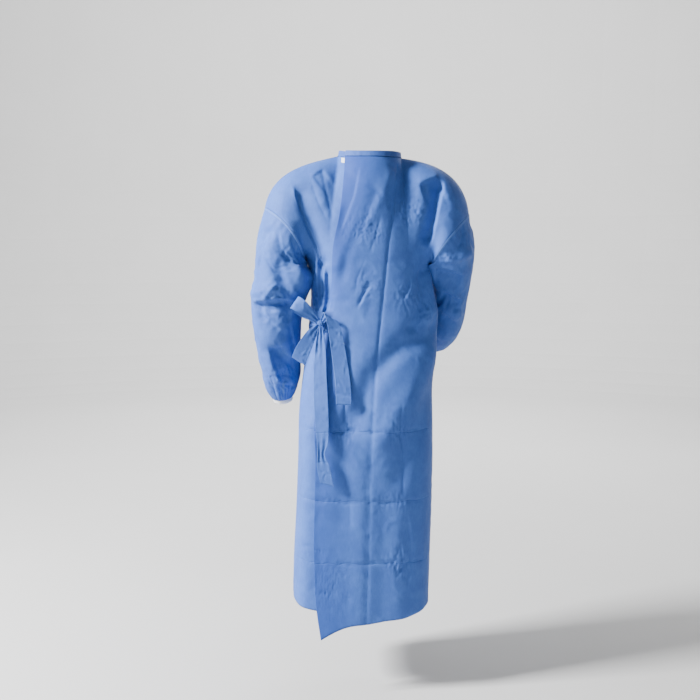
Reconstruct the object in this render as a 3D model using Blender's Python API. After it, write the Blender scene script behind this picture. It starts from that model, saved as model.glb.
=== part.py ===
"""Wrap-back surgical gown, hollow as it is worn.

Metres, +Z up, +X the wearer's left, +Y the wearer's back. The origin is the middle of the
shoulder line at the base of the neck, where the wearer holds the gown up. Every panel is a
closed cloth wall: an outer grid of points and an inner one, a wall's thickness further in.
"""

import math

import bmesh
import bpy
import numpy as np

# Cloth and seams
WALL = 0.0015
SEAM_GAP = 0.0003
LAYER_DEPTH = 0.006
BINDING_WALL = 0.0022
BINDING_HEIGHT = 0.015
CUFF_WALL = 0.002
TIE_WALL = 0.0012
SAME_POINT = 1e-5
CREASE_ANGLE = 50

# Grid counts, so that pieces share their points along a seam
SHOULDER_COLUMNS = 8
NECK_COLUMNS = 12
WRAP_COLUMNS = 14
UNDER_COLUMNS = 7
ARMHOLE_ROWS = 10
SKIRT_ROWS = 18
SLEEVE_ROWS = 18
RING_POINTS = 2 * ARMHOLE_ROWS
RING_TURNS = np.arange(RING_POINTS) * 360.0 / RING_POINTS
SKIRT_ROW_GROWTH = 1.25
FOLD_FADE_STEPS = 2
FOLD_FACING_GAIN = 1.6

# Places across a half of the body, from the right side (0) to the left side (1)
RIGHT_NECK_SHARE = 0.30
LEFT_NECK_SHARE = 0.70
UNDER_EDGE_SHARE = 0.36
COVER_MARGIN = 0.005
LEVEL_ROW = 0.4
SHOULDER_TURN_OUT = 2.0
EDGE_SEARCH = (0.45, 0.95)
EDGE_HALVINGS = 40

# How the cloth leaves the shoulder line and the neckline (y, z), where the one way passes into
# the other, how it comes down on the chest, and how far in the armhole's pull reaches
SHOULDER_START = (0.30, -0.04)
NECK_START = (0.14, -0.22)
NECK_BLEND = 0.29
NECK_BLEND_WIDTH = 0.20
CHEST_DROP = 0.27
ARMHOLE_REACH = 0.34

# Neckline: the oval where the binding joins, and how much the binding stands up from the cloth
NECK_X = (-0.098, 0.074)
NECK_BACK = {"depth": 0.074, "z": -0.030}
NECK_FRONT = {"depth": 0.098, "z": -0.105}
BINDING_LIFT = 0.7
BINDING_STEPS = (1.0, 0.5, 0.0)

# Shoulder lines as curves from the neck to the top of the armhole: x, z
SHOULDER_LEFT = ((0.074, -0.024), (0.150, -0.042), (0.256, -0.058), (0.276, -0.163))
SHOULDER_RIGHT = ((-0.098, -0.030), (-0.170, -0.039), (-0.270, -0.060), (-0.286, -0.180))

# Armholes: underarm height, depths back and front of the shoulder line, and how far the
# loop's middle leans in and up
ARMHOLE_LEFT = {"under_z": -0.302, "back": 0.098, "front": 0.092, "lean_x": -0.020, "lean_z": 0.010}
ARMHOLE_RIGHT = {"under_z": -0.320, "back": 0.096, "front": 0.092, "lean_x": 0.018, "lean_z": -0.006}

# Level sections of the body: half widths left and right, depths back and front, how far back
# the right side seam stands, and how round the section is (1 is an oval, less is squarer)
SECTION_COLUMNS = ("z", "left", "right", "back", "front", "right_seam_y", "roundness")
SECTIONS = (
    (-1.360, 0.206, 0.179, 0.150, 0.134, 0.000, 0.66),
    (-1.150, 0.202, 0.184, 0.148, 0.134, 0.000, 0.66),
    (-1.000, 0.194, 0.188, 0.147, 0.133, 0.000, 0.68),
    (-0.850, 0.188, 0.190, 0.146, 0.132, 0.000, 0.70),
    (-0.720, 0.184, 0.189, 0.143, 0.130, 0.000, 0.74),
    (-0.640, 0.175, 0.189, 0.136, 0.127, 0.004, 0.79),
    (-0.570, 0.166, 0.197, 0.126, 0.123, 0.016, 0.84),
    (-0.500, 0.157, 0.198, 0.118, 0.121, 0.030, 0.86),
    (-0.450, 0.152, 0.199, 0.116, 0.121, 0.040, 0.86),
    (-0.400, 0.150, 0.190, 0.119, 0.122, 0.036, 0.86),
    (-0.340, 0.155, 0.180, 0.122, 0.121, 0.018, 0.86),
    (-0.290, 0.168, 0.177, 0.123, 0.118, 0.004, 0.86),
)

# Wrap edge seen from behind, from the hem corner up to the neck
EDGE_COLUMNS = ("z", "x")
WRAP_EDGE = (
    (-1.360, 0.119),
    (-1.244, 0.135),
    (-1.102, 0.140),
    (-0.839, 0.135),
    (-0.673, 0.138),
    (-0.479, 0.118),
    (-0.385, 0.097),
    (-0.266, 0.087),
    (-0.185, 0.071),
    (-0.066, 0.058),
    (-0.020, 0.056),
)

# How far the wrap's edge stands off the panel under it, and how far in from the edge that starts
LIFT_COLUMNS = ("z", "out")
WRAP_LIFT = (
    (-1.360, 0.011),
    (-0.950, 0.010),
    (-0.750, 0.007),
    (-0.600, 0.002),
    (-0.500, 0.000),
    (-0.420, 0.000),
    (-0.320, 0.004),
    (-0.220, 0.006),
    (-0.120, 0.003),
    (-0.060, 0.000),
)
WRAP_LIFT_SHARE = 0.22

# Hem heights across each panel, from its right edge (0) to its left edge (1)
HEM_COLUMNS = ("share", "z")
HEM_FRONT = ((0.0, -1.266), (0.5, -1.264), (1.0, -1.247))
HEM_WRAP = ((0.0, -1.266), (0.25, -1.271), (0.50, -1.283), (0.80, -1.301), (1.0, -1.342))
HEM_UNDER = ((0.0, -1.270), (0.55, -1.264), (1.0, -1.247))

# Sleeve rings: centre, half sizes and the way that the ring faces
RING_COLUMNS = ("at", "x", "y", "z", "half_width", "half_depth", "face_x", "face_y", "face_z")
RINGS_LEFT = (
    (0.10, 0.2350, 0.0080, -0.2820, 0.0740, 0.0880, 0.55, 0.00, -0.84),
    (0.22, 0.2340, 0.0200, -0.3400, 0.0715, 0.0760, 0.16, 0.05, -0.98),
    (0.36, 0.2425, 0.0220, -0.4150, 0.0725, 0.0700, 0.02, -0.02, -1.0),
    (0.52, 0.2450, 0.0140, -0.4950, 0.0660, 0.0630, -0.02, -0.15, -1.0),
    (0.68, 0.2410, -0.0040, -0.5700, 0.0590, 0.0560, -0.05, -0.24, -0.96),
    (0.82, 0.2370, -0.0240, -0.6320, 0.0540, 0.0500, -0.05, -0.28, -0.95),
    (0.92, 0.2380, -0.0360, -0.6700, 0.0430, 0.0420, -0.05, -0.28, -0.95),
    (1.00, 0.2350, -0.0440, -0.6960, 0.0300, 0.0330, -0.10, -0.26, -0.95),
)
RINGS_RIGHT = (
    (0.10, -0.2450, -0.0040, -0.2980, 0.0670, 0.0860, -0.50, 0.00, -0.86),
    (0.22, -0.2460, -0.0240, -0.3550, 0.0530, 0.0720, -0.10, -0.15, -0.98),
    (0.34, -0.2410, -0.0520, -0.4150, 0.0500, 0.0640, 0.05, -0.40, -0.90),
    (0.46, -0.2330, -0.0840, -0.4740, 0.0510, 0.0640, 0.20, -0.70, -0.66),
    (0.60, -0.2160, -0.1300, -0.5130, 0.0540, 0.0600, 0.42, -0.80, -0.40),
    (0.74, -0.1830, -0.1800, -0.5350, 0.0480, 0.0540, 0.52, -0.76, -0.36),
    (0.88, -0.1460, -0.2280, -0.5540, 0.0420, 0.0440, 0.56, -0.74, -0.34),
    (1.00, -0.1180, -0.2620, -0.5700, 0.0300, 0.0330, 0.58, -0.72, -0.36),
)

# Knitted cuffs: how far along from the sleeve's end, and the size against the sleeve's end
CUFF_COLUMNS = ("along", "size")
CUFF_RINGS = ((-0.048, 0.86), (-0.020, 0.90), (-0.001, 1.00), (0.001, 1.00), (0.012, 0.94))

# Largest folds: depth out of the cloth, half width, and the route as x, z points
FOLDS_BACK = (
    (-0.012, 0.017, ((0.196, -0.110), (0.172, -0.187), (0.142, -0.270), (0.124, -0.345))),
    (-0.010, 0.015, ((-0.205, -0.100), (-0.186, -0.175), (-0.166, -0.262))),
    (-0.012, 0.018, ((-0.158, -0.340), (-0.158, -0.420), (-0.128, -0.486))),
    (0.006, 0.018, ((0.108, -0.070), (0.106, -0.147), (0.112, -0.230))),
    (0.006, 0.017, ((-0.066, -0.085), (-0.018, -0.170), (0.036, -0.250), (0.070, -0.315))),
    (-0.006, 0.017, ((-0.030, -0.130), (0.008, -0.206), (0.052, -0.290), (0.062, -0.350))),
    (0.008, 0.020, ((-0.176, -0.350), (-0.196, -0.400), (-0.206, -0.435))),
    (-0.008, 0.028, ((-0.190, -0.500), (-0.093, -0.537), (-0.019, -0.612), (0.040, -0.748))),
    (0.006, 0.032, ((-0.192, -0.555), (-0.121, -0.666), (-0.040, -0.789))),
    (-0.005, 0.028, ((-0.180, -0.680), (-0.127, -0.789), (-0.089, -0.885))),
    (-0.005, 0.026, ((0.060, -0.560), (0.070, -0.780), (0.060, -1.000))),
    (0.005, 0.030, ((0.020, -0.860), (0.010, -1.060), (0.014, -1.270))),
    (-0.005, 0.028, ((-0.055, -0.960), (-0.050, -1.120), (-0.050, -1.285))),
    (0.006, 0.024, ((0.150, -0.760), (0.165, -1.000), (0.170, -1.250))),
)
FOLDS_FRONT = (
    (-0.010, 0.017, ((0.190, -0.130), (0.164, -0.220), (0.132, -0.310), (0.128, -0.380))),
    (-0.010, 0.017, ((-0.198, -0.130), (-0.172, -0.225), (-0.146, -0.320), (-0.140, -0.400))),
    (-0.006, 0.022, ((0.010, -0.190), (0.050, -0.280), (0.098, -0.400))),
    (-0.006, 0.024, ((-0.070, -0.160), (-0.090, -0.300), (-0.084, -0.420))),
    (-0.009, 0.028, ((0.140, -0.490), (0.060, -0.560), (-0.010, -0.690))),
    (0.007, 0.030, ((0.150, -0.560), (0.096, -0.700), (0.076, -0.900))),
    (-0.008, 0.028, ((-0.150, -0.600), (-0.100, -0.760), (-0.092, -0.980))),
    (0.007, 0.030, ((-0.040, -0.760), (-0.026, -1.000), (-0.030, -1.265))),
    (-0.007, 0.028, ((0.030, -0.880), (0.036, -1.080), (0.034, -1.265))),
    (0.006, 0.028, ((-0.130, -0.960), (-0.140, -1.120), (-0.136, -1.265))),
)
FOLDS_LEFT_SLEEVE = (
    (-0.010, 0.014, ((0.300, -0.424), (0.262, -0.410), (0.205, -0.428))),
    (0.008, 0.015, ((0.306, -0.398), (0.262, -0.384), (0.196, -0.392))),
    (0.016, 0.022, ((0.176, -0.330), (0.172, -0.380))),
    (-0.008, 0.018, ((0.274, -0.552), (0.244, -0.620))),
    (-0.006, 0.016, ((0.256, -0.556), (0.200, -0.600))),
    (-0.006, 0.015, ((0.232, -0.330), (0.214, -0.392))),
    (-0.006, 0.014, ((0.262, -0.232), (0.290, -0.262))),
)
FOLDS_RIGHT_SLEEVE = (
    (-0.008, 0.014, ((-0.196, -0.330), (-0.240, -0.338), (-0.284, -0.328))),
    (0.007, 0.014, ((-0.214, -0.300), (-0.246, -0.302), (-0.280, -0.286))),
    (-0.008, 0.015, ((-0.220, -0.398), (-0.262, -0.420))),
    (0.007, 0.016, ((-0.214, -0.436), (-0.256, -0.462))),
)

# Ties: centre, half width, and how the width lies, as degrees up from +X and degrees towards +Y
TIE_COLUMNS = ("x", "y", "z", "half_width", "rise", "lean")
TIE_PIECES = {
    "tie_side": (
        (0.1556, 0.0060, -0.4780, 0.0170, 95, 0),
        (0.1540, 0.0300, -0.4765, 0.0150, 94, 0),
        (0.1450, 0.0560, -0.4755, 0.0110, 92, 0),
        (0.1320, 0.0800, -0.4755, 0.0070, 90, 0),
    ),
    "loop_upper": (
        (0.1330, 0.1000, -0.4660, 0.0070, 118, 10),
        (0.1480, 0.1080, -0.4500, 0.0140, 122, 6),
        (0.1730, 0.1160, -0.4290, 0.0190, 128, 4),
        (0.1900, 0.1090, -0.4190, 0.0190, 126, 0),
        (0.1880, 0.0950, -0.4270, 0.0180, 122, 0),
        (0.1640, 0.0860, -0.4490, 0.0140, 118, 0),
        (0.1320, 0.0900, -0.4640, 0.0065, 120, 0),
    ),
    "loop_lower": (
        (0.1310, 0.1010, -0.4840, 0.0065, 50, 10),
        (0.1470, 0.1080, -0.5070, 0.0150, 34, 6),
        (0.1660, 0.1130, -0.5430, 0.0200, 34, 4),
        (0.1810, 0.1070, -0.5750, 0.0200, 34, 0),
        (0.1790, 0.0950, -0.5730, 0.0190, 34, 0),
        (0.1610, 0.0880, -0.5390, 0.0150, 34, 0),
        (0.1310, 0.0900, -0.4880, 0.0065, 52, 0),
    ),
    "tail_short": (
        (0.1150, 0.1060, -0.4660, 0.0070, 60, 10),
        (0.1060, 0.1170, -0.4550, 0.0130, 52, 10),
        (0.0910, 0.1210, -0.4640, 0.0170, 20, 10),
        (0.0810, 0.1210, -0.5000, 0.0190, 12, 4),
        (0.0710, 0.1250, -0.5600, 0.0200, 8, 2),
        (0.0610, 0.1360, -0.6300, 0.0205, 4, 2),
        (0.0580, 0.1480, -0.6900, 0.0205, 2, 2),
    ),
    "tail_long": (
        (0.1210, 0.1055, -0.4860, 0.0055, 4, 0),
        (0.1210, 0.1080, -0.5400, 0.0140, 4, -10),
        (0.1220, 0.1250, -0.6200, 0.0180, 2, -10),
        (0.1180, 0.1440, -0.7200, 0.0190, 0, -6),
        (0.1150, 0.1540, -0.7900, 0.0150, -6, -4),
        (0.1190, 0.1540, -0.8240, 0.0100, -10, 0),
        (0.1130, 0.1580, -0.8580, 0.0170, 0, -4),
        (0.1040, 0.1610, -0.9040, 0.0185, 14, -4),
    ),
}
# Which ends of each tie piece meet the knot
KNOT_ENDS = {
    "tie_side": (-1,),
    "loop_upper": (0, -1),
    "loop_lower": (0, -1),
    "tail_short": (0,),
    "tail_long": (0,),
}
KNOT_GAP = 0.0005

# Sewn end of the wrap's tie: grid columns in from the edge, and its span between two grid rows
TIE_WRAP_COLUMNS = 2
TIE_WRAP_ROW = 14
TIE_WRAP_SPAN = (0.05, 0.80)
TIE_COLUMNS_ACROSS = 4
TIE_ROWS_EACH = 3

# Knot of the bow: centre and half sizes
KNOT_CENTRE = (0.1210, 0.0975, -0.4755)
KNOT_HALF = (0.0090, 0.0080, 0.0110)
KNOT_SEGMENTS = 12
KNOT_RINGS = 8

# Hook tab: across the wrap edge just under the binding
TAB_SHARES = (0.585, 0.650)
TAB_ROWS = (0.020, 0.085)
TAB_POINTS = (3, 5)
TAB_WALL = 0.0010
TAB_CLEARANCE = 0.0008

# Finishes: sRGB colour, roughness
FABRIC_BLUE = ((0.46, 0.60, 0.80), 0.85)
BINDING_BLUE = ((0.42, 0.55, 0.74), 0.80)
KNIT_WHITE = ((0.90, 0.91, 0.91), 0.95)
TAB_WHITE = ((0.93, 0.94, 0.95), 0.70)

SIDES = {
    -1: {"shoulder": SHOULDER_RIGHT, "armhole": ARMHOLE_RIGHT, "rings": RINGS_RIGHT},
    1: {"shoulder": SHOULDER_LEFT, "armhole": ARMHOLE_LEFT, "rings": RINGS_LEFT},
}


def unit(vectors):
    """Vectors scaled to length one."""
    lengths = np.linalg.norm(vectors, axis=-1, keepdims=True)
    return vectors / np.maximum(lengths, 1e-12)


def smooth(keys, values, at):
    """Smooth curve through a table's values, read at the given keys."""
    keys = np.asarray(keys, float)
    values = np.asarray(values, float)
    at = np.clip(at, keys[0], keys[-1])
    slopes = np.gradient(values, keys)
    low = np.clip(np.searchsorted(keys, at, side="right") - 1, 0, len(keys) - 2)
    span = keys[low + 1] - keys[low]
    t = (at - keys[low]) / span
    start = (2 * t**3 - 3 * t**2 + 1) * values[low] + (t**3 - 2 * t**2 + t) * span * slopes[low]
    end = (3 * t**2 - 2 * t**3) * values[low + 1] + (t**3 - t**2) * span * slopes[low + 1]
    return start + end


def read(table, columns, name, at):
    """One named column of a table, read smoothly at values of the first column."""
    place = columns.index(name)
    return smooth([row[0] for row in table], [row[place] for row in table], at)


def bezier(points, t):
    """Cubic curve through x, z control points, as points in the shoulder plane."""
    t = np.asarray(t, float)
    weights = ((1 - t) ** 3, 3 * t * (1 - t) ** 2, 3 * t**2 * (1 - t), t**3)
    x = sum(w * p[0] for w, p in zip(weights, points))
    z = sum(w * p[1] for w, p in zip(weights, points))
    return np.stack([x, np.zeros_like(x), z], axis=-1)


def neckline(face, share):
    """Neck opening from its right point (0) to its left point (1), at the back or the front."""
    drop = NECK_BACK if face > 0 else NECK_FRONT
    angle = math.pi * np.clip(share, 0, 1)
    middle = (NECK_X[0] + NECK_X[1]) / 2
    half = (NECK_X[1] - NECK_X[0]) / 2
    x = middle - half * np.cos(angle)
    y = face * drop["depth"] * np.sin(angle)
    ends = SHOULDER_RIGHT[0][1] + (SHOULDER_LEFT[0][1] - SHOULDER_RIGHT[0][1]) * share
    z = ends + (drop["z"] - ends) * np.sin(angle) ** 2
    return np.stack([x, y, z], axis=-1)


def top_line(face, share):
    """Right shoulder, neckline and left shoulder as one line, from armhole to armhole."""
    right = bezier(SHOULDER_RIGHT, np.clip(1 - share / RIGHT_NECK_SHARE, 0, 1))
    left = bezier(SHOULDER_LEFT, np.clip((share - LEFT_NECK_SHARE) / (1 - LEFT_NECK_SHARE), 0, 1))
    neck = neckline(face, (share - RIGHT_NECK_SHARE) / (LEFT_NECK_SHARE - RIGHT_NECK_SHARE))
    line = np.where((share < RIGHT_NECK_SHARE)[..., None], right, neck)
    return np.where((share > LEFT_NECK_SHARE)[..., None], left, line)


def section(face, share, z):
    """Point on the level section of the body's back (face 1) or front (face -1)."""
    left = read(SECTIONS, SECTION_COLUMNS, "left", z)
    right = read(SECTIONS, SECTION_COLUMNS, "right", z)
    depth = read(SECTIONS, SECTION_COLUMNS, "back" if face > 0 else "front", z)
    seam_y = read(SECTIONS, SECTION_COLUMNS, "right_seam_y", z) * (share < 0.5)
    roundness = read(SECTIONS, SECTION_COLUMNS, "roundness", z)
    angle = (share - 0.5) * math.pi
    across = np.sign(np.sin(angle)) * np.abs(np.sin(angle)) ** roundness
    out = np.maximum(np.cos(angle), 0) ** roundness
    x = (left - right) / 2 + (left + right) / 2 * across
    y = seam_y + (face * depth - seam_y) * out
    return np.stack([x, y, z + 0 * x], axis=-1)


def chest_height(share):
    """Height of the underarm level, which runs from one underarm point to the other."""
    right = ARMHOLE_RIGHT["under_z"]
    return right + (ARMHOLE_LEFT["under_z"] - right) * share


def armhole(side, turn):
    """Armhole loop: 0 at the shoulder, 90 at the back, 180 under the arm, 270 at the front."""
    hole = SIDES[side]["armhole"]
    top = bezier(SIDES[side]["shoulder"], np.float64(1.0))
    under = section(1, np.float64(0.5 + side / 2), np.float64(hole["under_z"]))
    angle = np.radians(turn)[..., None]
    lean = np.array([hole["lean_x"], 0.0, hole["lean_z"]])
    depth = np.where(np.sin(angle) > 0, hole["back"], hole["front"])
    loop = (top + under) / 2 + np.cos(angle) * (top - under) / 2
    return loop + np.sin(angle) ** 2 * lean + np.sin(angle) * depth * np.array([0.0, 1.0, 0.0])


def armhole_normals(side, turn):
    """Way out of the cloth round the armhole: outward over the shoulder, down under the arm."""
    angle = np.radians(turn)
    over = side * SHOULDER_TURN_OUT * np.maximum(np.cos(angle), 0)
    return unit(np.stack([over, np.sin(angle), np.cos(angle)], axis=-1))


def upper_patch(face, share, row):
    """Cloth from the shoulder and neck line (row 0) to the underarm level (row 1)."""
    top = top_line(face, share)
    bottom = section(face, share, chest_height(share))
    on_neck = np.clip((NECK_BLEND - np.abs(share - 0.5)) / NECK_BLEND_WIDTH, 0, 1)
    on_neck = on_neck**2 * (3 - 2 * on_neck)
    shoulder_start = np.array([0.0, face * SHOULDER_START[0], SHOULDER_START[1]])
    neck_start = np.array([0.0, face * NECK_START[0], NECK_START[1]])
    start = shoulder_start + on_neck[..., None] * (neck_start - shoulder_start)
    end = np.array([0.0, 0.0, -CHEST_DROP])

    def column(top, bottom, start, t):
        t = t[..., None]
        rise = (2 * t**3 - 3 * t**2 + 1) * top + (t**3 - 2 * t**2 + t) * start
        return rise + (3 * t**2 - 2 * t**3) * bottom + (t**3 - t**2) * end

    points = column(top, bottom, start, row)
    for side in (-1, 1):
        edge_share = np.full_like(row, 0.5 + side / 2)
        edge_top = top_line(face, edge_share)
        edge_bottom = section(face, edge_share, chest_height(edge_share))
        edge_start = np.zeros_like(start) + shoulder_start
        drawn = column(edge_top, edge_bottom, edge_start, row)
        turn = 180 * row if face > 0 else 360 - 180 * row
        pull = armhole(side, turn) - drawn
        reach = np.clip(1 - np.abs(share - edge_share) / ARMHOLE_REACH, 0, 1) ** 2
        points = points + reach[..., None] * pull
    return points


def body_surface(face, share, row, hem):
    """Outer face of the body, with rows 0 to 1 over the shoulder and 1 to 2 down to the hem."""
    share, row, hem = np.broadcast_arrays(share, row, hem)
    upper = upper_patch(face, share, np.clip(row, 0, 1))
    chest = chest_height(share)
    lower = section(face, share, chest + (hem - chest) * np.clip(row - 1, 0, 1))
    return np.where((row <= 1)[..., None], upper, lower)


def wrap_edge_share(row, hem):
    """Where the wrap's edge runs across the back on each row, found by halving."""
    low = np.full_like(row, EDGE_SEARCH[0])
    high = np.full_like(row, EDGE_SEARCH[1])
    for _ in range(EDGE_HALVINGS):
        middle = (low + high) / 2
        point = body_surface(1, middle, row, hem)
        beyond = point[..., 0] > read(WRAP_EDGE, EDGE_COLUMNS, "x", point[..., 2])
        high = np.where(beyond, middle, high)
        low = np.where(beyond, low, middle)
    return (low + high) / 2


def normals(points, outward, closed=False):
    """Unit normals of a grid; outward is 1 where the columns run with the normal, else -1."""
    down = np.gradient(points, axis=0)
    if closed:
        along = np.roll(points, -1, axis=1) - np.roll(points, 1, axis=1)
    else:
        along = np.gradient(points, axis=1)
    return unit(outward * np.cross(along, down))


def fold_depth(points, folds):
    """How far each point is moved out by the folds, as seen square on from the back or front."""
    depth = np.zeros(points.shape[:-1])
    flat = points[..., [0, 2]]
    for height, width, route in folds:
        nearest = np.full(points.shape[:-1], np.inf)
        for start, end in zip(route[:-1], route[1:]):
            start = np.array(start)
            run = np.array(end) - start
            t = np.clip(((flat - start) @ run) / (run @ run), 0, 1)
            gap = np.linalg.norm(flat - start - t[..., None] * run, axis=-1)
            nearest = np.minimum(nearest, gap)
        depth += height * np.exp(-((nearest / width) ** 2))
    return depth


def edge_fade(shape, kept_edges):
    """0 on a seam and 1 inside the panel; free edges that are named keep their folds."""
    rows, columns = shape
    row = np.arange(rows)[:, None] + np.zeros((1, columns))
    column = np.arange(columns)[None, :] + np.zeros((rows, 1))
    distances = {"top": row, "bottom": rows - 1 - row, "right": column, "left": columns - 1 - column}
    fade = np.ones(shape)
    for edge, distance in distances.items():
        if edge not in kept_edges:
            fade = fade * np.clip(distance / FOLD_FADE_STEPS, 0, 1)
    return fade


class Panel:
    """One cloth wall: a grid of outer points, their normals and a wall's thickness."""

    def __init__(self, name, points, outward, wall, closed=False, group="body"):
        self.name = name
        self.points = points
        self.outward = outward
        self.wall = wall
        self.closed = closed
        self.group = group
        self.normals = normals(points, outward, closed)

    def fold(self, folds, facing, kept_edges=()):
        """Moves the cloth in and out where it faces the given way."""
        facing_share = np.clip(self.normals[..., 1] * facing * FOLD_FACING_GAIN, 0, 1)
        fade = edge_fade(self.points.shape[:2], kept_edges)
        depth = fold_depth(self.points, folds) * facing_share * fade
        self.points = self.points + depth[..., None] * self.normals
        self.normals = normals(self.points, self.outward, self.closed)

    def sink(self, depth):
        """Moves the cloth in by a depth given for each point."""
        self.points = self.points - depth[..., None] * self.normals
        self.normals = normals(self.points, self.outward, self.closed)

    def seam_places(self):
        """Grid places on the panel's edges."""
        rows, columns = self.points.shape[:2]
        places = {(row, column) for row in (0, rows - 1) for column in range(columns)}
        if not self.closed:
            places |= {(row, column) for row in range(rows) for column in (0, columns - 1)}
        return sorted(places)


def share_normals(panels):
    """Gives pieces that meet along a seam the same normals there, so their walls stay parted."""
    meeting = {}
    for panel in panels:
        for place in panel.seam_places():
            key = tuple(np.round(panel.points[place] / SAME_POINT).astype(int))
            meeting.setdefault(key, {}).setdefault(panel.group, []).append((panel, place))
    for groups in meeting.values():
        means = [unit(sum(panel.normals[place] for panel, place in uses)) for uses in groups.values()]
        shared = unit(sum(means))
        for uses in groups.values():
            for panel, place in uses:
                panel.normals[place] = shared


def set_armhole_normals(front, right_back, left_back, sleeves):
    """Gives both sides of each armhole seam the same normals."""
    for side, sleeve in sleeves.items():
        sleeve.normals[0] = armhole_normals(side, RING_TURNS)
    down = np.arange(ARMHOLE_ROWS + 1)
    turns = 180.0 * down / ARMHOLE_ROWS
    right_back.normals[down, 0] = armhole_normals(-1, turns)
    left_back.normals[down, -1] = armhole_normals(1, turns)
    front.normals[down, 0] = armhole_normals(-1, 360 - turns)
    front.normals[down, -1] = armhole_normals(1, 360 - turns)


def part_seams(panel):
    """Draws each edge back by half a seam gap, square to the shared normal."""
    points = panel.points
    moved = points.copy()
    edges = ((0, 1), (-1, -2))
    for edge, next_row in edges:
        along = np.gradient(points[edge], axis=0)
        if panel.closed:
            along = np.roll(points[edge], -1, axis=0) - np.roll(points[edge], 1, axis=0)
        moved[edge] += draw_in(points[next_row] - points[edge], along, panel.normals[edge])
    if not panel.closed:
        for edge, next_column in edges:
            along = np.gradient(points[:, edge], axis=0)
            step = points[:, next_column] - points[:, edge]
            moved[:, edge] += draw_in(step, along, panel.normals[:, edge])
    panel.points = moved


def draw_in(step, along, normal):
    """Half a seam gap in the direction of step, square to the seam and to its normal."""
    across = unit(np.cross(normal, along))
    side = np.sign(np.sum(across * step, axis=-1, keepdims=True))
    return across * side * SEAM_GAP / 2


def finish_material(name, finish):
    """Plain cloth finish as one shader."""
    colour, roughness = finish
    material = bpy.data.materials.new(name)
    material.use_nodes = True
    shader = material.node_tree.nodes["Principled BSDF"]
    linear = [((c + 0.055) / 1.055) ** 2.4 for c in colour]
    shader.inputs["Base Color"].default_value = (*linear, 1.0)
    shader.inputs["Roughness"].default_value = roughness
    shader.inputs["Metallic"].default_value = 0.0
    return material


def split_places(corners, vertices):
    """Two triangles, as places among four corners, across their shorter diagonal."""
    a, b, c, d = vertices[corners]
    shorter = np.linalg.norm(a - c) < np.linalg.norm(b - d)
    return ((0, 1, 2), (0, 2, 3)) if shorter else ((0, 1, 3), (1, 2, 3))


def wall_object(name, outer, inner, closed, outward, material):
    """Closed solid between an outer and an inner grid, with rims along the open edges.

    Both walls are split across the same diagonals, so that they never cross.
    """
    rows, columns = outer.shape[:2]
    count = rows * columns
    vertices = np.concatenate([outer.reshape(-1, 3), inner.reshape(-1, 3)])
    spans = columns if closed else columns - 1
    faces = []

    def place(row, column, layer):
        return layer * count + row * columns + column % columns

    for row in range(rows - 1):
        for column in range(spans):
            ring = [(row, column), (row + 1, column), (row + 1, column + 1), (row, column + 1)]
            corners = [place(r, c, 0) for r, c in ring]
            for triangle in split_places(corners, vertices):
                faces.append([corners[i] for i in triangle])
                faces.append([corners[i] + count for i in reversed(triangle)])
    rims = []
    last = rows - 1
    for column in range(spans):
        rims.append([(0, column, 0), (0, column + 1, 0), (0, column + 1, 1), (0, column, 1)])
        rims.append([(last, column, 1), (last, column + 1, 1), (last, column + 1, 0), (last, column, 0)])
    if not closed:
        last = columns - 1
        for row in range(rows - 1):
            rims.append([(row, 0, 1), (row + 1, 0, 1), (row + 1, 0, 0), (row, 0, 0)])
            rims.append([(row, last, 0), (row + 1, last, 0), (row + 1, last, 1), (row, last, 1)])
    for rim in rims:
        corners = [place(*corner) for corner in rim]
        for triangle in split_places(corners, vertices):
            faces.append([corners[i] for i in triangle])
    if outward > 0:
        faces = [face[::-1] for face in faces]
    mesh = bpy.data.meshes.new(name)
    mesh.from_pydata(vertices.tolist(), [], faces)
    mesh.shade_smooth()
    mesh.set_sharp_from_angle(angle=math.radians(CREASE_ANGLE))
    mesh.materials.append(material)
    thing = bpy.data.objects.new(name, mesh)
    bpy.context.collection.objects.link(thing)
    return thing


def build_panel(panel, material):
    """Turns a panel into its solid."""
    part_seams(panel)
    inner = panel.points - panel.wall * panel.normals
    return wall_object(panel.name, panel.points, inner, panel.closed, panel.outward, material)


def row_places():
    """Row values: even ones over the shoulder, then growing ones down to the hem."""
    upper = np.linspace(0, 1, ARMHOLE_ROWS + 1)
    lower = 1 + np.linspace(0, 1, SKIRT_ROWS + 1)[1:] ** SKIRT_ROW_GROWTH
    return np.concatenate([upper, lower])


def front_panel():
    """Whole front, from side seam to side seam."""
    share = np.concatenate(
        [
            np.linspace(0, RIGHT_NECK_SHARE, SHOULDER_COLUMNS + 1),
            np.linspace(RIGHT_NECK_SHARE, LEFT_NECK_SHARE, NECK_COLUMNS + 1)[1:],
            np.linspace(LEFT_NECK_SHARE, 1, SHOULDER_COLUMNS + 1)[1:],
        ]
    )[None, :]
    hem = read(HEM_FRONT, HEM_COLUMNS, "z", share)
    points = body_surface(-1, share, row_places()[:, None], hem)
    panel = Panel("front", points, -1, WALL)
    panel.fold(FOLDS_FRONT, -1, ("bottom",))
    return panel


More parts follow.
